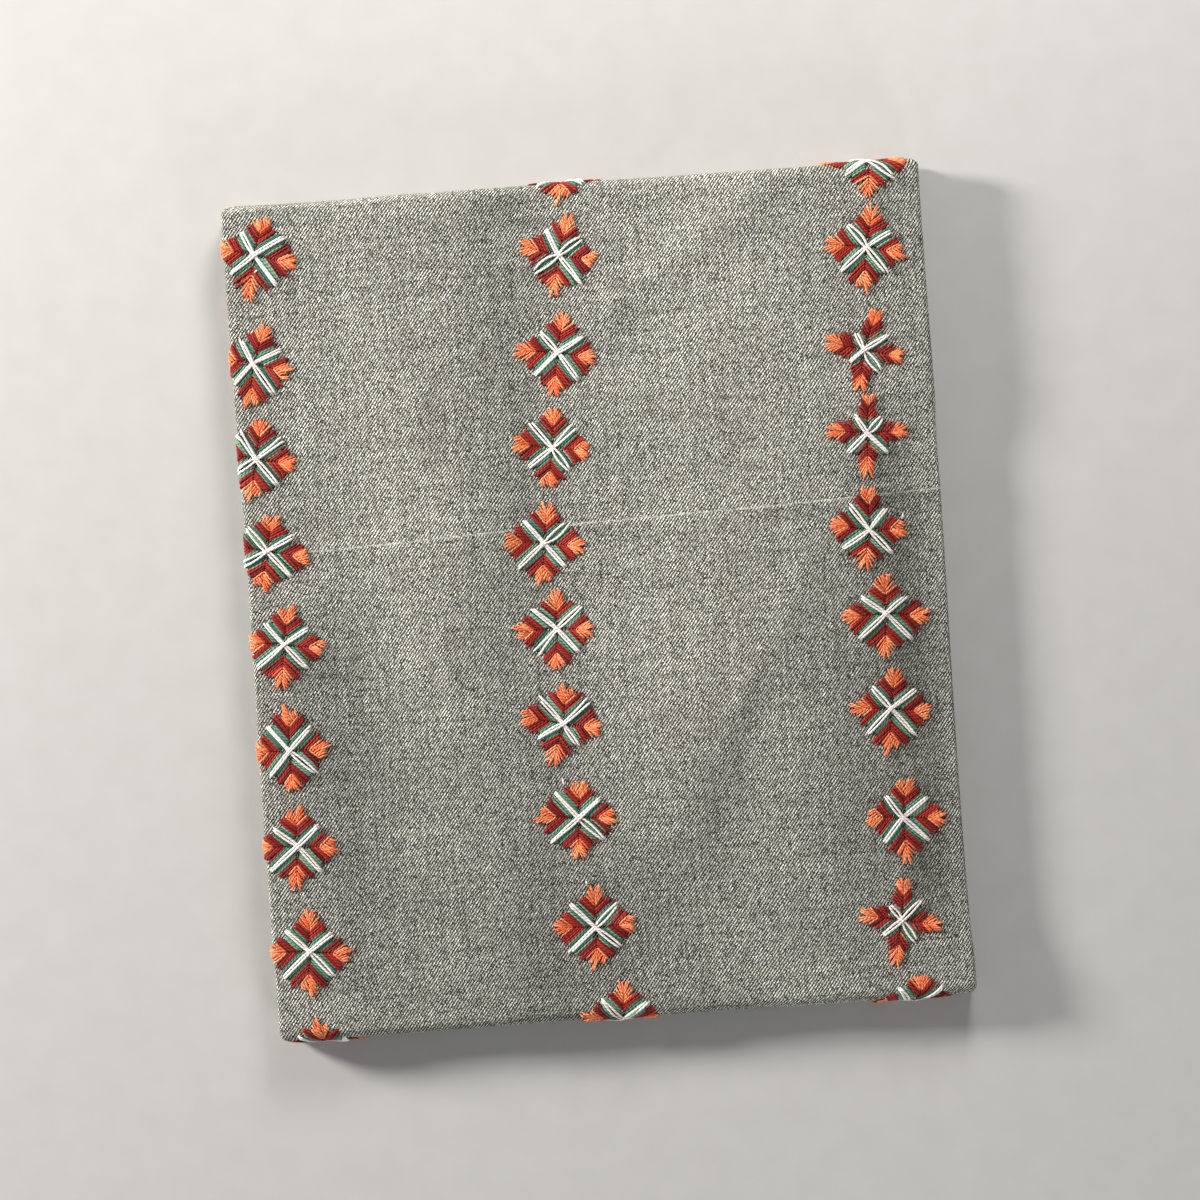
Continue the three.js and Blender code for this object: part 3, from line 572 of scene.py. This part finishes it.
def wool_twill():
    material, tree, shader = new_material("wool_twill", 0.9, 0.06)
    weave, place = place_group(tree, TWILL)
    part = weave.outputs
    ends = colour_mix(tree, part["End tone"], rgb(164, 163, 146), rgb(255, 255, 245))
    picks = colour_mix(tree, part["Pick tone"], rgb(2, 2, 2), rgb(94, 94, 82))
    cloth = colour_mix(tree, part["Warp up"], picks, ends)
    cloth = colour_mix(tree, part["Pale pick"], cloth, rgb(238, 234, 222))
    # Painted shade darkens the gaps where the floats lie low, and the pits.
    gap = calc(tree, "MINIMUM", scaled(tree, part["Height"], 2.0, 0.02), 1.0)
    closed = calc(tree, "SUBTRACT", scaled(tree, part["Crossing tone"], 0.4, 0.8),
                  scaled(tree, part["Pit shade"], 0.62))
    cloth = shade(tree, cloth, calc(tree, "MULTIPLY", gap, closed))
    # Slubs run along the ends and along the picks, and a slow cloud lies over both.
    tone = scaled(tree, soft_noise(tree, place, 1.0, 3, (0.5, 0.016, 1)), 1.1, -0.2)
    tone = scaled(tree, soft_noise(tree, place, 1.0, 3, (0.018, 0.42, 1)), 1.1, tone)
    tone = scaled(tree, soft_noise(tree, place, 0.016, 3), 0.35, tone)
    tone = scaled(tree, part["Thread line"], 0.3, tone)
    # The painted fold shade darkens and lightens the cloth's colour in broad bands.
    broad = tree.nodes.new("ShaderNodeAttribute")
    broad.attribute_name = "painted_fold_shade"
    cloth = shade(tree, cloth, calc(tree, "MULTIPLY", tone, broad.outputs["Fac"]))
    tree.links.new(cloth, shader.inputs["Base Color"])
    nap = soft_noise(tree, place, 3.1, 2)
    add_bump(tree, shader, [(part["Height"], 0.8, 0.26), (nap, 0.3, 0.16)])
    return material


def yarn(name, deep, main, light):
    """Plied yarn: painted shade in the grooves, its colour on the plies, and where a stitch is paler."""
    material, tree, shader = new_material(name, 0.66, 0.04)
    part = place_group(tree, YARN)[0].outputs
    body = colour_mix(tree, part["Stitch tone"], main, light)
    # The grooves between plies take the deep colour as painted shade.
    body = colour_mix(tree, calc(tree, "POWER", part["Ply height"], 0.8), deep, body)
    body = shade(tree, body, scaled(tree, part["Fibre"], 0.9, 0.58))
    tree.links.new(body, shader.inputs["Base Color"])
    add_bump(tree, shader, [(part["Ply height"], 0.6, 0.22), (part["Fibre"], 0.3, 0.1)])
    return material


WOOL = wool_twill()
# Each yarn's colours: painted shade in its grooves, its colour on the plies, its paler stitches.
YARNS = {
    "red": yarn("yarn_red", rgb(48, 4, 5), rgb(116, 12, 12), rgb(194, 50, 34)),
    "orange": yarn("yarn_orange", rgb(184, 54, 26), rgb(244, 108, 56), rgb(255, 178, 124)),
    "green": yarn("yarn_green", rgb(20, 58, 44), rgb(62, 116, 92), rgb(142, 184, 156)),
    "white": yarn("yarn_white", rgb(208, 178, 172), rgb(248, 236, 230), rgb(255, 253, 250)),
}
print("materials", [WOOL.name] + [m.name for m in YARNS.values()])

# %% [markdown]
# ## The cloth that shows
# One fine grid of cloth follows the packet all the way round: in under the upper far fold,
# over the top, round the near fold, along the underside and into the lower far fold. At
# both sides it rolls under and shows its own thickness at the lip.


# %% Lay the cloth
# The path's stretches, and how many rows of the grid each one gets.
STRETCHES = [
    (PATH_START, UPPER_START, 6), (UPPER_START, UPPER_CENTRE, 16),
    (UPPER_CENTRE, NEAR_CENTRE, 225), (NEAR_CENTRE, SIDE_START, 10),
    (SIDE_START, SIDE_STOP, 5), (SIDE_STOP, UNDER_START, 10), (UNDER_START, LOWER_START, 48),
    (LOWER_START, LOWER_STOP, 12), (LOWER_STOP, PATH_STOP, 6),
]
FLAT_COLUMNS, ROLLED_COLUMNS = 191, 11
# The cut edge, point by point: its share of the wall inward, and how far back it lies in mm.
EDGE_INWARD = np.array([0.15, 0.5, 0.85, 1.0, 1.0, 1.0])
EDGE_BACK = np.array([-0.35, -0.5, -0.35, 0.0, 1.2, 2.6])


def lay_cloth():
    rows = [np.linspace(a, b, count, endpoint=False) for a, b, count in STRETCHES]
    stations = np.concatenate([*rows, [PATH_STOP]])
    radius = side_radius(stations)[:, None]
    flat, rim = HALF_WIDE - radius, HALF_WIDE - radius + math.pi * radius
    lip = rim + SIDE_LIP
    middle = np.linspace(-1, 1, FLAT_COLUMNS)[None, :] * flat
    rolled = flat + (rim - flat) * np.linspace(0, 1, ROLLED_COLUMNS)[None, 1:]
    right = np.concatenate([rolled, rim + SIDE_LIP / 2, lip], axis=1)
    edge_u = lip - EDGE_BACK[None, :]
    u = np.concatenate([-edge_u[:, ::-1], -right[:, ::-1], middle, right, edge_u], axis=1)
    inward = np.zeros(u.shape[1])
    inward[-len(EDGE_INWARD):], inward[:len(EDGE_INWARD)] = EDGE_INWARD, EDGE_INWARD[::-1]
    v = stations[:, None] + np.zeros_like(u)
    rise = cloth_relief(u, v) * (1 - inward) - WALL * inward
    points = cloth_point(u, v, rise).reshape(-1, 3)
    flat_map = np.stack([u, v], axis=-1).reshape(-1, 2)
    cloth = mesh_piece("shawl_cloth", points, grid_faces(*u.shape), flat_map, WOOL)
    set_painted_fold_shade(cloth, flat_map)
    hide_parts("front_panel")
    return cloth, (float(2 * lip.max()), float(stations[0] - stations[-1]))


shawl_cloth, shown_size = lay_cloth()
print("cloth that shows, flat, mm:", [round(s, 1) for s in shown_size])

# %% [markdown]
# ## The folded-in layers
# Between the top and the lowest strip lie three more, seen only as edges: at the right
# each is one round fold of three layers, at the left a fold of two with the free selvedge
# under it. Each strip is one loop of cloth with that section, swept along the packet.

# %% Lay the hidden strips
# They reach into the near and far folds, or stop short of the end of the cloth's tail.
# Columns: name, low and high face, far end, set back left and right, wander of its sides.
IN_FOLD, BY_TAIL = 199.0, TAIL_END - 0.4
HIDDEN_STRIPS = [
    ("strip_upper", 11.75, 14.9, IN_FOLD, 0.9, 1.4, 0.5),
    ("strip_middle", 7.7, 11.4, BY_TAIL, 1.6, 0.7, -0.6),
    ("strip_lower", 4.0, 7.4, BY_TAIL, 0.5, 1.8, 0.45),
]
STRIP_ROWS = 150
WANDER_WAVE, SMALL_WAVE, PINCH_WAVE, SMALL_WANDER, PINCH = 27, 9.3, 13.0, 0.35, 0.12
SELVEDGE_SHARE, SELVEDGE_BACK, CREVICE_BACK = 0.34, 1.1, 2.6


def strip_section(low, high, left, right):
    """A strip's outline across: one fold at the right, a fold over a selvedge at the left."""
    def bow(x, z, radius, start, stop, count):
        turn = np.radians(np.linspace(start, stop, count))
        return np.stack([x + radius * np.cos(turn), z + radius * np.sin(turn)], axis=-1)

    middle, radius = (low + high) / 2, (high - low) / 2
    split = low + (high - low) * SELVEDGE_SHARE
    folded, thin = (high - split) / 2, (split - low) / 2
    selvedge, crevice = left + SELVEDGE_BACK + thin, left + CREVICE_BACK
    flat = np.linspace(right - radius, left + folded, 40)[1:-1]
    under = np.linspace(selvedge + 0.1, right - radius, 40)[1:-1]
    return np.concatenate([
        bow(right - radius, middle, radius, -90, 90, 15),
        np.stack([flat, np.full_like(flat, high)], axis=-1),
        bow(left + folded, high - folded, folded, 90, 262, 12),
        [[crevice, split + 0.05], [crevice, split - 0.05]],
        bow(selvedge, low + thin, thin, 110, 270, 8),
        np.stack([under, np.full_like(under, low)], axis=-1),
    ])


def lay_strip(name, low, high, far, left_back, right_back, wander):
    """Sweeps the section along the packet, with sides that wander as stacked folds do."""
    near = -IN_FOLD
    stations = np.linspace(near, far, STRIP_ROWS)
    rings = []
    for y in stations:
        shift = wander * math.sin(y / WANDER_WAVE + low)
        shift += SMALL_WANDER * math.sin(y / SMALL_WAVE + high)
        pinch = PINCH * math.sin(y / PINCH_WAVE + low * 2)
        left, right = -HALF_WIDE + left_back + shift, HALF_WIDE - right_back + shift * 0.8
        rings.append(strip_section(low + pinch, high - abs(pinch), left, right))
    section = np.array(rings)
    y = stations[:, None] + np.zeros(section.shape[:2])
    points = np.stack(soften(section[..., 0], y, section[..., 1]), axis=-1)
    step = np.linalg.norm(np.diff(rings[0], axis=0, append=rings[0][:1]), axis=1)
    round_mm = np.concatenate([[0], np.cumsum(step)[:-1]])
    flat_map = np.stack([round_mm[None, :] + 0 * y, y], axis=-1).reshape(-1, 2)
    faces = grid_faces(STRIP_ROWS, section.shape[1], True)
    strip = mesh_piece(name, points.reshape(-1, 3), faces, flat_map, WOOL)
    set_painted_fold_shade(strip, flat_map)
    return strip


strips = [lay_strip(*row) for row in HIDDEN_STRIPS]
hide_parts("hidden_layers")

# %% [markdown]
# ## The embroidery, stitch by stitch
# Long satin-like stitches are best as real strands: each is a flattened tube with thin ends
# that dive into the cloth, laid in cloth coordinates so it bends wherever the cloth bends.
# A petal is a nest of V shapes: red ones first, with their arms along the cross, and then
# orange ones whose arms stand closer together and end ragged like small flames.

# %% Collect strands
rng = np.random.default_rng(41)
strands = {(name, under): {"points": [], "map": [], "faces": [], "count": 0, "number": 0}
           for name in YARNS for under in (False, True)}
# Yarn shows down round the left side to where it is tucked in, and at the right side only
# to where the cloth starts to roll under.
LEFT_END = -(HALF_WIDE - SIDE_RADIUS) - SIDE_RADIUS * math.radians(150)
RIGHT_END = HALF_WIDE - SIDE_RADIUS + 1
# Where the packet rests, the yarn is pressed flat: each colour's height, and the thickness.
PRESSED = {"green": -0.30, "red": -0.28, "orange": -0.24, "white": -0.19}
PRESSED_THICK, LOWEST = 0.3, 0.02
# Lengths in mm over which a strand's end grows thin, and over which it dives in.
TAPER_MM, DIVE_MM = 1.3, 0.8
SIDES, SIDES_UNDER = 6, 4


def run_that_shows(line):
    """The part of a line that isn't tucked in: the first unbroken run of its points."""
    u, v = line.T
    inside = (u > LEFT_END) & (u < RIGHT_END) & (v < UPPER_START - 1) & (v > LOWER_STOP + 1)
    start = int(np.argmax(inside))
    stop = start + int(np.argmin(np.append(inside[start:], False)))
    return line[start:stop]


def add_strand(colour, line, width, thick, base, bulge=0.2):
    """A flattened tube along a line of (across, along) points, with its ends in the cloth."""
    line = run_that_shows(np.asarray(line, float))
    rings = len(line)
    if rings < 3:
        return
    shown = shown_at(line[:, 1])
    under = bool(shown.max() == 0)
    store, sides = strands[colour, under], SIDES_UNDER if under else SIDES
    step = np.concatenate([[0], np.cumsum(np.linalg.norm(np.diff(line, axis=0), axis=1))])
    s = step / step[-1]
    flow = np.gradient(line, step, axis=0)
    flow /= np.linalg.norm(flow, axis=1)[:, None] + 1e-9
    aside = np.stack([-flow[:, 1], flow[:, 0]], axis=-1)
    from_end = np.minimum(step, step[-1] - step)
    body = np.sqrt(np.clip(from_end / TAPER_MM, 0.08, 1))
    dive = np.clip(1 - from_end / DIVE_MM, 0, 1) ** 2
    relief = -REST_LIFT if under else cloth_relief(line[:, 0], line[:, 1])
    standing = relief + base + bulge * np.sin(np.pi * s) - (base + 0.4) * dive
    centre = standing * shown + (PRESSED[colour] - 0.3 * dive) * (1 - shown)
    turn = 2 * np.pi * (np.arange(sides) + 0.5) / sides
    wide = 0.5 * width * (0.3 + 0.7 * body)[:, None] * np.cos(turn)[None, :]
    high = 0.5 * (thick * shown + PRESSED_THICK * (1 - shown)) * (0.4 + 0.6 * body)
    u = line[:, :1] + aside[:, :1] * wide
    v = line[:, 1:] + aside[:, 1:] * wide
    points = cloth_point(u, v, centre[:, None] + high[:, None] * np.sin(turn)[None, :])
    points[..., 2] = np.maximum(points[..., 2], LOWEST)
    store["points"].append(points.reshape(-1, 3))
    round_share = store["number"] + (np.arange(sides) + 0.5) / sides
    chart = np.broadcast_arrays(step[:, None] + rng.uniform(0, 5), round_share[None, :])
    store["map"].append(np.stack(chart, axis=-1).reshape(-1, 2))
    quads = grid_faces(rings, sides, True)
    near_cap = np.array([[0, k + 1, k] for k in range(1, sides - 1)])
    far_cap = (near_cap + (rings - 1) * sides)[:, ::-1]
    faces = np.concatenate([quads[:, [0, 1, 2]], quads[:, [0, 2, 3]], near_cap, far_cap])
    store["faces"].append(faces + store["count"])
    store["count"] += rings * sides
    store["number"] += 1


# %% Table of crosses
# A cross is four arms of white over green. Columns, for the arms at upper right, upper left,
# lower left and lower right: its angle, its length, and how far its two white strands
# stand apart in the middle (or, below nought, at the end).
CROSSES = {
    0: (42, 15, 0, 130, 15, 0, 224, 15, 0, -48, 16, 0),
    1: (27, 17, 0.2, 115, 12.8, 0.3, 216, 14.4, 0.3, -57, 18, 0.2),
    2: (22, 14.5, 0, 113, 12.6, 0.6, 225, 13.4, 0, -60, 18.6, 0.6),
    3: (32, 15.7, -1.4, 119, 14.4, -2.0, 213, 14, 0.8, -54, 16.4, 0.3),
    4: (26, 14.2, 0.5, 127, 15.1, 1.5, 208, 14, -1.8, -50, 17, 0.6),
    5: (31, 13.8, 0, 127, 14, 0.2, 217, 17, 0.5, -48, 15.5, 0.4),
    6: (44, 15.1, 0.4, 128, 15.6, 0.2, 230, 15.5, 0.1, -43, 16.7, 0.6),
    7: (41, 13.4, 0.5, 140, 14.2, 0.5, 220, 18, 0.2, -50, 16.6, 0.5),
    8: (35, 13.8, -1.0, 134, 14.6, 0.4, 222, 17.6, 0.2, -49, 16.7, 1.0),
    9: (40, 15, 0, 130, 15, 0.4, 222, 16, 0, -46, 16, 0),
    10: (40, 15, 1.2, 132, 15, 0, 218, 15, 0, -42, 15, 1.8),
    11: (33, 13.6, 1.7, 113, 13.8, 0.4, 210, 14, 2.8, -56, 17.2, 0.3),
    12: (28, 14.6, 0.2, 126, 12.6, 0.5, 220, 15.4, 0.1, -57, 17, 0.7),
    13: (40, 15.1, -1.6, 127, 16, 0.9, 215, 14, 0.8, -57, 13.6, 1.4),
    14: (37, 13.8, 2.2, 129, 14.6, 0.2, 219, 17.4, 0.3, -53, 15.1, 0.2),
    15: (39, 16, 0.4, 136, 15, 0.2, 225, 15, -2.6, -50, 16, 0.5),
    16: (38, 17.2, -1.5, 128, 16.4, 0.3, 205, 13.6, 0.3, -60, 12.4, 0.4),
    17: (39, 13.6, 0, 129, 16.6, 0.2, 217, 17.4, 0.2, -45, 15.2, 1.6),
    18: (43, 14.6, 1.3, 133, 16.2, 0.1, 219, 17.6, 0.2, -42, 15, 0.9),
    19: (34, 15, 0.2, 130, 14, 0.6, 220, 16, 0, -48, 16, 0.4),
    20: (40, 15, 0, 134, 15, 0.3, 208, 14, 0.2, -41, 14.6, 1.4),
    21: (27, 14, 0.4, 126, 13.4, 1.7, 220, 16.4, 0.4, -57, 15.4, 1.2),
    22: (28, 13.5, 0.2, 110, 8.8, 0.3, 214, 8.8, 0, -56, 12.5, 2.3),
    23: (45, 10.4, 2.0, 122, 10.2, 0.2, 220, 12.4, 0.3, -47, 13.4, 0.1),
    24: (47, 12.8, 0.2, 125, 15, 0.6, 211, 15.4, 0.4, -49, 15.1, 0.4),
    25: (35, 13, 0.4, 141, 13.8, 0.3, 220, 17.4, 0.5, -47, 17.6, 0.3),
    26: (33, 15.3, 0.2, 127, 13.8, 1.0, 222, 15.8, 0.3, -51, 17.4, 0.3),
    27: (33, 15.8, 0.3, 125, 12.6, 0.8, 230, 15, 0.4, -45, 17, 0.3),
    28: (41, 13.4, 0.5, 123, 8.6, 0.8, 214, 11.6, 0.8, -61, 12, 1.6),
    29: (44, 15, 0, 130, 15, 0.3, 222, 16, 0, -44, 16, 0.3),
}
PLAIN_CROSS = (43, 15, 0.3, 132, 15, 0.2, 222, 16, 0.3, -47, 16, 0.8)
# Loose white ends. Columns: the diamond, across and along from its crossing, angle, length.
LOOSE_ENDS = [(1, -0.6, -8.8, 40, 2.6), (17, -6.0, 16.2, 100, 3.6), (18, -2.6, 20.4, 95, 2.6),
              (7, 1.2, -22.6, -85, 2.0), (24, 16.4, 4.0, 75, 3.4)]


# %% Rules for a stitch
# A stitch that bends round the left side or round a far or near fold gets more rings.
SIDE_REACH, FOLD_AT, FOLD_REACH = 4, 203, 16
RINGS_STRAIGHT, RINGS_BENT = 3, 12


def polar(degrees, distance):
    return np.array([math.cos(math.radians(degrees)), math.sin(math.radians(degrees))]) * distance


def stitch(colour, start, degrees, length, base, width=1.08, thick=0.92):
    """One strand from its start, at an angle, with a slight bow. Base is its height."""
    finish = start + polar(degrees, length)
    over_side = min(start[0], finish[0]) < SIDE_REACH - HALF_WIDE
    over_fold = abs(abs(start[1]) - FOLD_AT) < FOLD_REACH
    end = min(0.14, 0.5 / length)
    inner = np.linspace(2.4 * end, 1 - 2.4 * end,
                        RINGS_BENT if over_side or over_fold else RINGS_STRAIGHT)
    s = np.concatenate([[0, end], inner, [1 - end, 1]])[:, None]
    bow = polar(degrees + 90, rng.normal(0, 0.1))
    add_strand(colour, start + (finish - start) * s + bow * np.sin(np.pi * s), width, thick, base)


# %% Rules for a petal
# Clear of a cross's arm by ARM_CLEAR lies the first red stitch, and the next ones follow at
# PITCH. A petal's tip lies at TIP_GAIN times its reach, in millimetres. A star's petals
# start nearer, reach further and have one more red V.
ARM_CLEAR, PITCH, TIP_GAIN = 3.8, 1.02, 1.53
STAR_START, STAR_TIP, STAR_REDS = 0.85, 1.04, 5
FLAME_MODES, FLAME_ROWS, FLAME_STEP = ["fan", "fan", "split", "low", "high"], 5, 0.12


def sew_flame(centre, axis, half, first, deep, style):
    """The orange end of a petal: Vs that close on its middle line, or a one-sided fan."""
    mode = rng.choice(FLAME_MODES) if style == FULL else "split"
    one_sided = mode in ("low", "high")
    for k in range(FLAME_ROWS):
        apex = centre + polar(axis, first + deep * FLAME_STEP * k)
        left = deep * (1 - FLAME_STEP * k)
        share = k / (FLAME_ROWS - 1)
        splay = (half - 5) * (1 - share) + (14 if mode == "fan" else 20) * share
        most = 7.2 - 0.15 * k if style == FULL else 6.4
        for side in (-1, 1):
            angle = axis + side * (splay + rng.normal(0, 2.5))
            size = min(most, left / math.cos(math.radians(splay))) * rng.uniform(0.86, 1.1)
            if one_sided and k > 0 and (mode == "high") == (side < 0):
                continue
            stitch("orange", apex - polar(angle, 0.25), angle, size + 0.25, 0.55 + 0.05 * k, 1.0)
    if one_sided:
        side = 1 if mode == "high" else -1
        for k in range(1, 6):
            foot = centre + polar(axis, first + 0.3) + polar(axis - side * (half - 2), 1.15 * k)
            angle = axis + side * (half - 4 - 5 * k + rng.normal(0, 2))
            stitch("orange", foot, angle, (7.4 - 0.7 * k) * rng.uniform(0.9, 1.1), 0.6)


def sew_petal(centre, low_arm, high_arm, reach, style):
    """Nested V stitches between two arms of the cross, each given by its angle and length."""
    half = (high_arm[0] - low_arm[0]) / 2
    axis = (high_arm[0] + low_arm[0]) / 2 + rng.normal(0, 0.8)
    rise_step = PITCH / math.sin(math.radians(half))
    start = ARM_CLEAR / math.sin(math.radians(half)) + rng.normal(0, 0.15)
    tip = TIP_GAIN * reach
    reds = int(rng.choice([3, 4, 4]))
    if style == STAR:
        start, tip, reds = start * STAR_START, tip * STAR_TIP, STAR_REDS
    for k in range(reds):
        apex = centre + polar(axis, start + rise_step * k)
        for side, arm in ((-1, low_arm), (1, high_arm)):
            if style == FULL:
                long = 0.5 * reach + 0.37 * arm[1]
                close, size, slip = 0.0, long - PITCH * (k + 0.4), (0.88, 1.06)
            else:
                close, size, slip = 4.0 * k - 6.0, 7.9 - 0.25 * k, (0.82, 1.12)
            angle = axis + side * (half - close + rng.normal(0, 1.9))
            size *= rng.uniform(*slip)
            stitch("red", apex - polar(angle, 0.3), angle, size + 0.3, 0.42 + 0.03 * k)
    first = start + rise_step * reds - 0.35
    sew_flame(centre, axis, half, first, tip - first, style)


# %% Rules for a cross
# How far to each side of an arm its green stitches lie, and two more where the white parts.
GREEN_ASIDE, GREEN_BETWEEN, PARTED = [-2.95, -1.95, -1.05, 1.05, 1.95, 2.95], [-0.35, 0.35], 0.9
WHITE_RINGS, WHITE_WIDE, WHITE_THICK = 23, 1.14, 0.95
WHITE_HIGH, WHITE_OVER = 0.9, 0.45


def sew_green(centre, angle, long, gap):
    for offset in GREEN_ASIDE + (GREEN_BETWEEN if abs(gap) > PARTED else []):
        begin = 0.9 + abs(offset)
        size = long - 0.6 - 0.3 * abs(offset) + rng.normal(0, 0.6) - begin
        aside = polar(angle + 90, offset * (1.0 + 0.1 * abs(gap)))
        start = centre + polar(angle, begin) + aside
        stitch("green", start, angle + rng.normal(0, 1.0), size, 0.42, 1.06, 0.9)


def sew_white(centre, first, second, side, lean, base):
    """One of a diagonal's two strands, from the second arm's end to the first arm's end."""
    s = np.linspace(-1, 1, WHITE_RINGS)
    far = np.abs(s)
    reach_1, reach_2 = (arm[1] + 0.6 + rng.normal(0, 0.5) for arm in (first, second))
    ends = np.where(s[:, None] > 0, polar(first[0], reach_1), polar(second[0], reach_2))
    # The strands part like a lens in an arm's middle, or like a wedge towards its end.
    lens = 0.42 * np.sin(np.pi * far**0.85) + 0.12 * far
    wedge = 0.5 * far**1.5
    gap = np.where(s > 0, first[2], second[2])
    apart = np.where(gap >= 0, gap * lens, -gap * wedge)
    squeeze = 0.54 * (1 - 0.25 * np.exp(-((s / 0.2) ** 2)) - 0.3 * (gap >= 0) * far**6)
    wander = 0.18 * np.sin(s * rng.uniform(2, 5) + rng.uniform(0, 6))
    aside = side * (squeeze + apart * (1.35 if side == lean else 0.65)) + wander
    turned = polar((first[0] + second[0] - 180) / 2 + 90, 1.0)
    line = centre + ends * far[:, None] + turned * aside[:, None]
    add_strand("white", line, WHITE_WIDE, WHITE_THICK, base, 0.1)


def sew_cross(centre, arms):
    for arm in arms:
        sew_green(centre, *arm)
    over = int(rng.integers(0, 2))
    for diagonal in (0, 1):
        lean = int(rng.choice([-1, 1]))
        base = WHITE_HIGH + (WHITE_OVER if diagonal == over else 0.0)
        for side in (-1, 1):
            sew_white(centre, arms[diagonal], arms[diagonal + 2], side, lean, base)


def sew_diamond(row, table):
    across, along, up, down, left, right, _, style = row
    centre = np.array([across, along])
    arms = [table[k:k + 3] for k in range(0, 12, 3)]
    upper_right, upper_left, lower_left, lower_right = arms
    # The lower right arm's angle is below nought, so the down petal meets it a turn further.
    turn_further = (lower_right[0] + 360, lower_right[1])
    sew_petal(centre, lower_right, upper_right, right, style)
    sew_petal(centre, upper_right, upper_left, up, style)
    sew_petal(centre, upper_left, lower_left, left, style)
    sew_petal(centre, lower_left, turn_further, down, style)
    sew_cross(centre, arms)


# %% Sew them all
# The underside carries the three columns on, in plain form.
UNDER_COLUMNS, UNDER_ROWS, UNDER_FIRST, UNDER_STEP = (-154, -14, 139), 8, 34, 45.5
PLAIN_REACHES = (12.8, 14.0, 13.0, 12.8)
for number, row in enumerate(DIAMONDS):
    sew_diamond(row, CROSSES.get(number, PLAIN_CROSS))
for column in UNDER_COLUMNS:
    for k in range(UNDER_ROWS):
        along = UNDER_START - UNDER_FIRST - UNDER_STEP * k + rng.normal(0, 1.2)
        across, turn = column + rng.normal(0, 1.5), rng.normal(-3, 3)
        sew_diamond((across, along, *PLAIN_REACHES, turn, FULL), PLAIN_CROSS)
for number, across, along, angle, long in LOOSE_ENDS:
    place = np.array(DIAMONDS[number][:2]) + (across, along)
    stitch("white", place, angle, long, 1.1, 0.9, 0.7)
print("stitches", {key: store["number"] for key, store in strands.items()})

# %% Make the pieces of each yarn colour
for (name, under), store in strands.items():
    title = f"stitches_{name}_under" if under else f"stitches_{name}"
    piece = mesh_piece(title, np.concatenate(store["points"]), np.concatenate(store["faces"]),
                       np.concatenate(store["map"]), YARNS[name])

# %% [markdown]

# %% [markdown]
# ## Floor, light and camera
# A plain pale floor, a lamp low at the left that rakes across the cloth, and two weak ones,
# beyond the far end and before the near end, that soften its shadows. The camera looks
# straight down, turned a little so that the packet lies askew.

# %% Floor
FLOOR_HALF = 3.0


def pale_floor():
    material, tree, shader = new_material("pale_floor", 0.7, 0.0)
    place = tree.nodes.new("ShaderNodeTexCoord").outputs["Object"]
    speckle = soft_noise(tree, place, 60.0, 3)
    colour = colour_mix(tree, speckle, rgb(186, 184, 180), rgb(195, 193, 190))
    tree.links.new(colour, shader.inputs["Base Color"])
    mesh = bpy.data.meshes.new("floor")
    corners = [(x * FLOOR_HALF, y * FLOOR_HALF, 0) for x, y in ((-1, -1), (1, -1), (1, 1), (-1, 1))]
    mesh.from_pydata(corners, [], [(0, 1, 2, 3)])
    mesh.materials.append(material)
    floor = bpy.data.objects.new("floor", mesh)
    bpy.context.scene.collection.objects.link(floor)


pale_floor()


# %% Lamps
# Columns: name, place in metres, width in metres, power in watts, colour.
LAMPS = [
    ("key_lamp", (-1.8, 0.75, 0.67), 0.4, 78.0, (1.0, 0.985, 0.96)),
    ("top_lamp", (0.25, 0.95, 0.62), 0.4, 9.4, (1.0, 0.99, 0.97)),
    ("near_lamp", (0.5, -1.6, 0.55), 0.5, 10.0, (0.97, 0.98, 1.0)),
]
SKY_COLOUR, SKY_STRENGTH = (0.95, 0.97, 1.0, 1.0), 0.2


def soft_lamp(name, place, size, power, colour):
    """A round lamp that points at the middle of the packet."""
    data = bpy.data.lights.new(name, "AREA")
    data.shape, data.size, data.energy, data.color = "DISK", size, power, colour
    lamp = bpy.data.objects.new(name, data)
    lamp.location = place
    lamp.rotation_mode = "QUATERNION"
    lamp.rotation_quaternion = (-Vector(place)).to_track_quat("-Z", "Y")
    bpy.context.scene.collection.objects.link(lamp)


for row in LAMPS:
    soft_lamp(*row)
world = bpy.data.worlds.new("studio")
world.use_nodes = True
sky = world.node_tree.nodes["Background"]
sky.inputs["Color"].default_value = SKY_COLOUR
sky.inputs["Strength"].default_value = SKY_STRENGTH
bpy.context.scene.world = world
bpy.context.scene.view_settings.view_transform = "Standard"

# %% Camera
# The picture's width, in its own pixels and in millimetres at the height of the top face.
PICTURE_PIXELS, MM_A_PIXEL = 1200, 0.48405
PICTURE_WIDE_MM = PICTURE_PIXELS * MM_A_PIXEL
LENS, SENSOR = 85.0, 36.0
ASIDE_MM, ALONG_MM, TURN_DEGREES = 0.5, 0.1, -4.016
camera = bpy.data.objects.new("camera", bpy.data.cameras.new("camera"))
camera.data.lens, camera.data.sensor_width = LENS, SENSOR
camera_high = HIGH + PICTURE_WIDE_MM * LENS / SENSOR
camera.location = (ASIDE_MM * MM, ALONG_MM * MM, camera_high * MM)
camera.rotation_euler = (0, 0, math.radians(TURN_DEGREES))
bpy.context.scene.collection.objects.link(camera)
bpy.context.scene.camera = camera
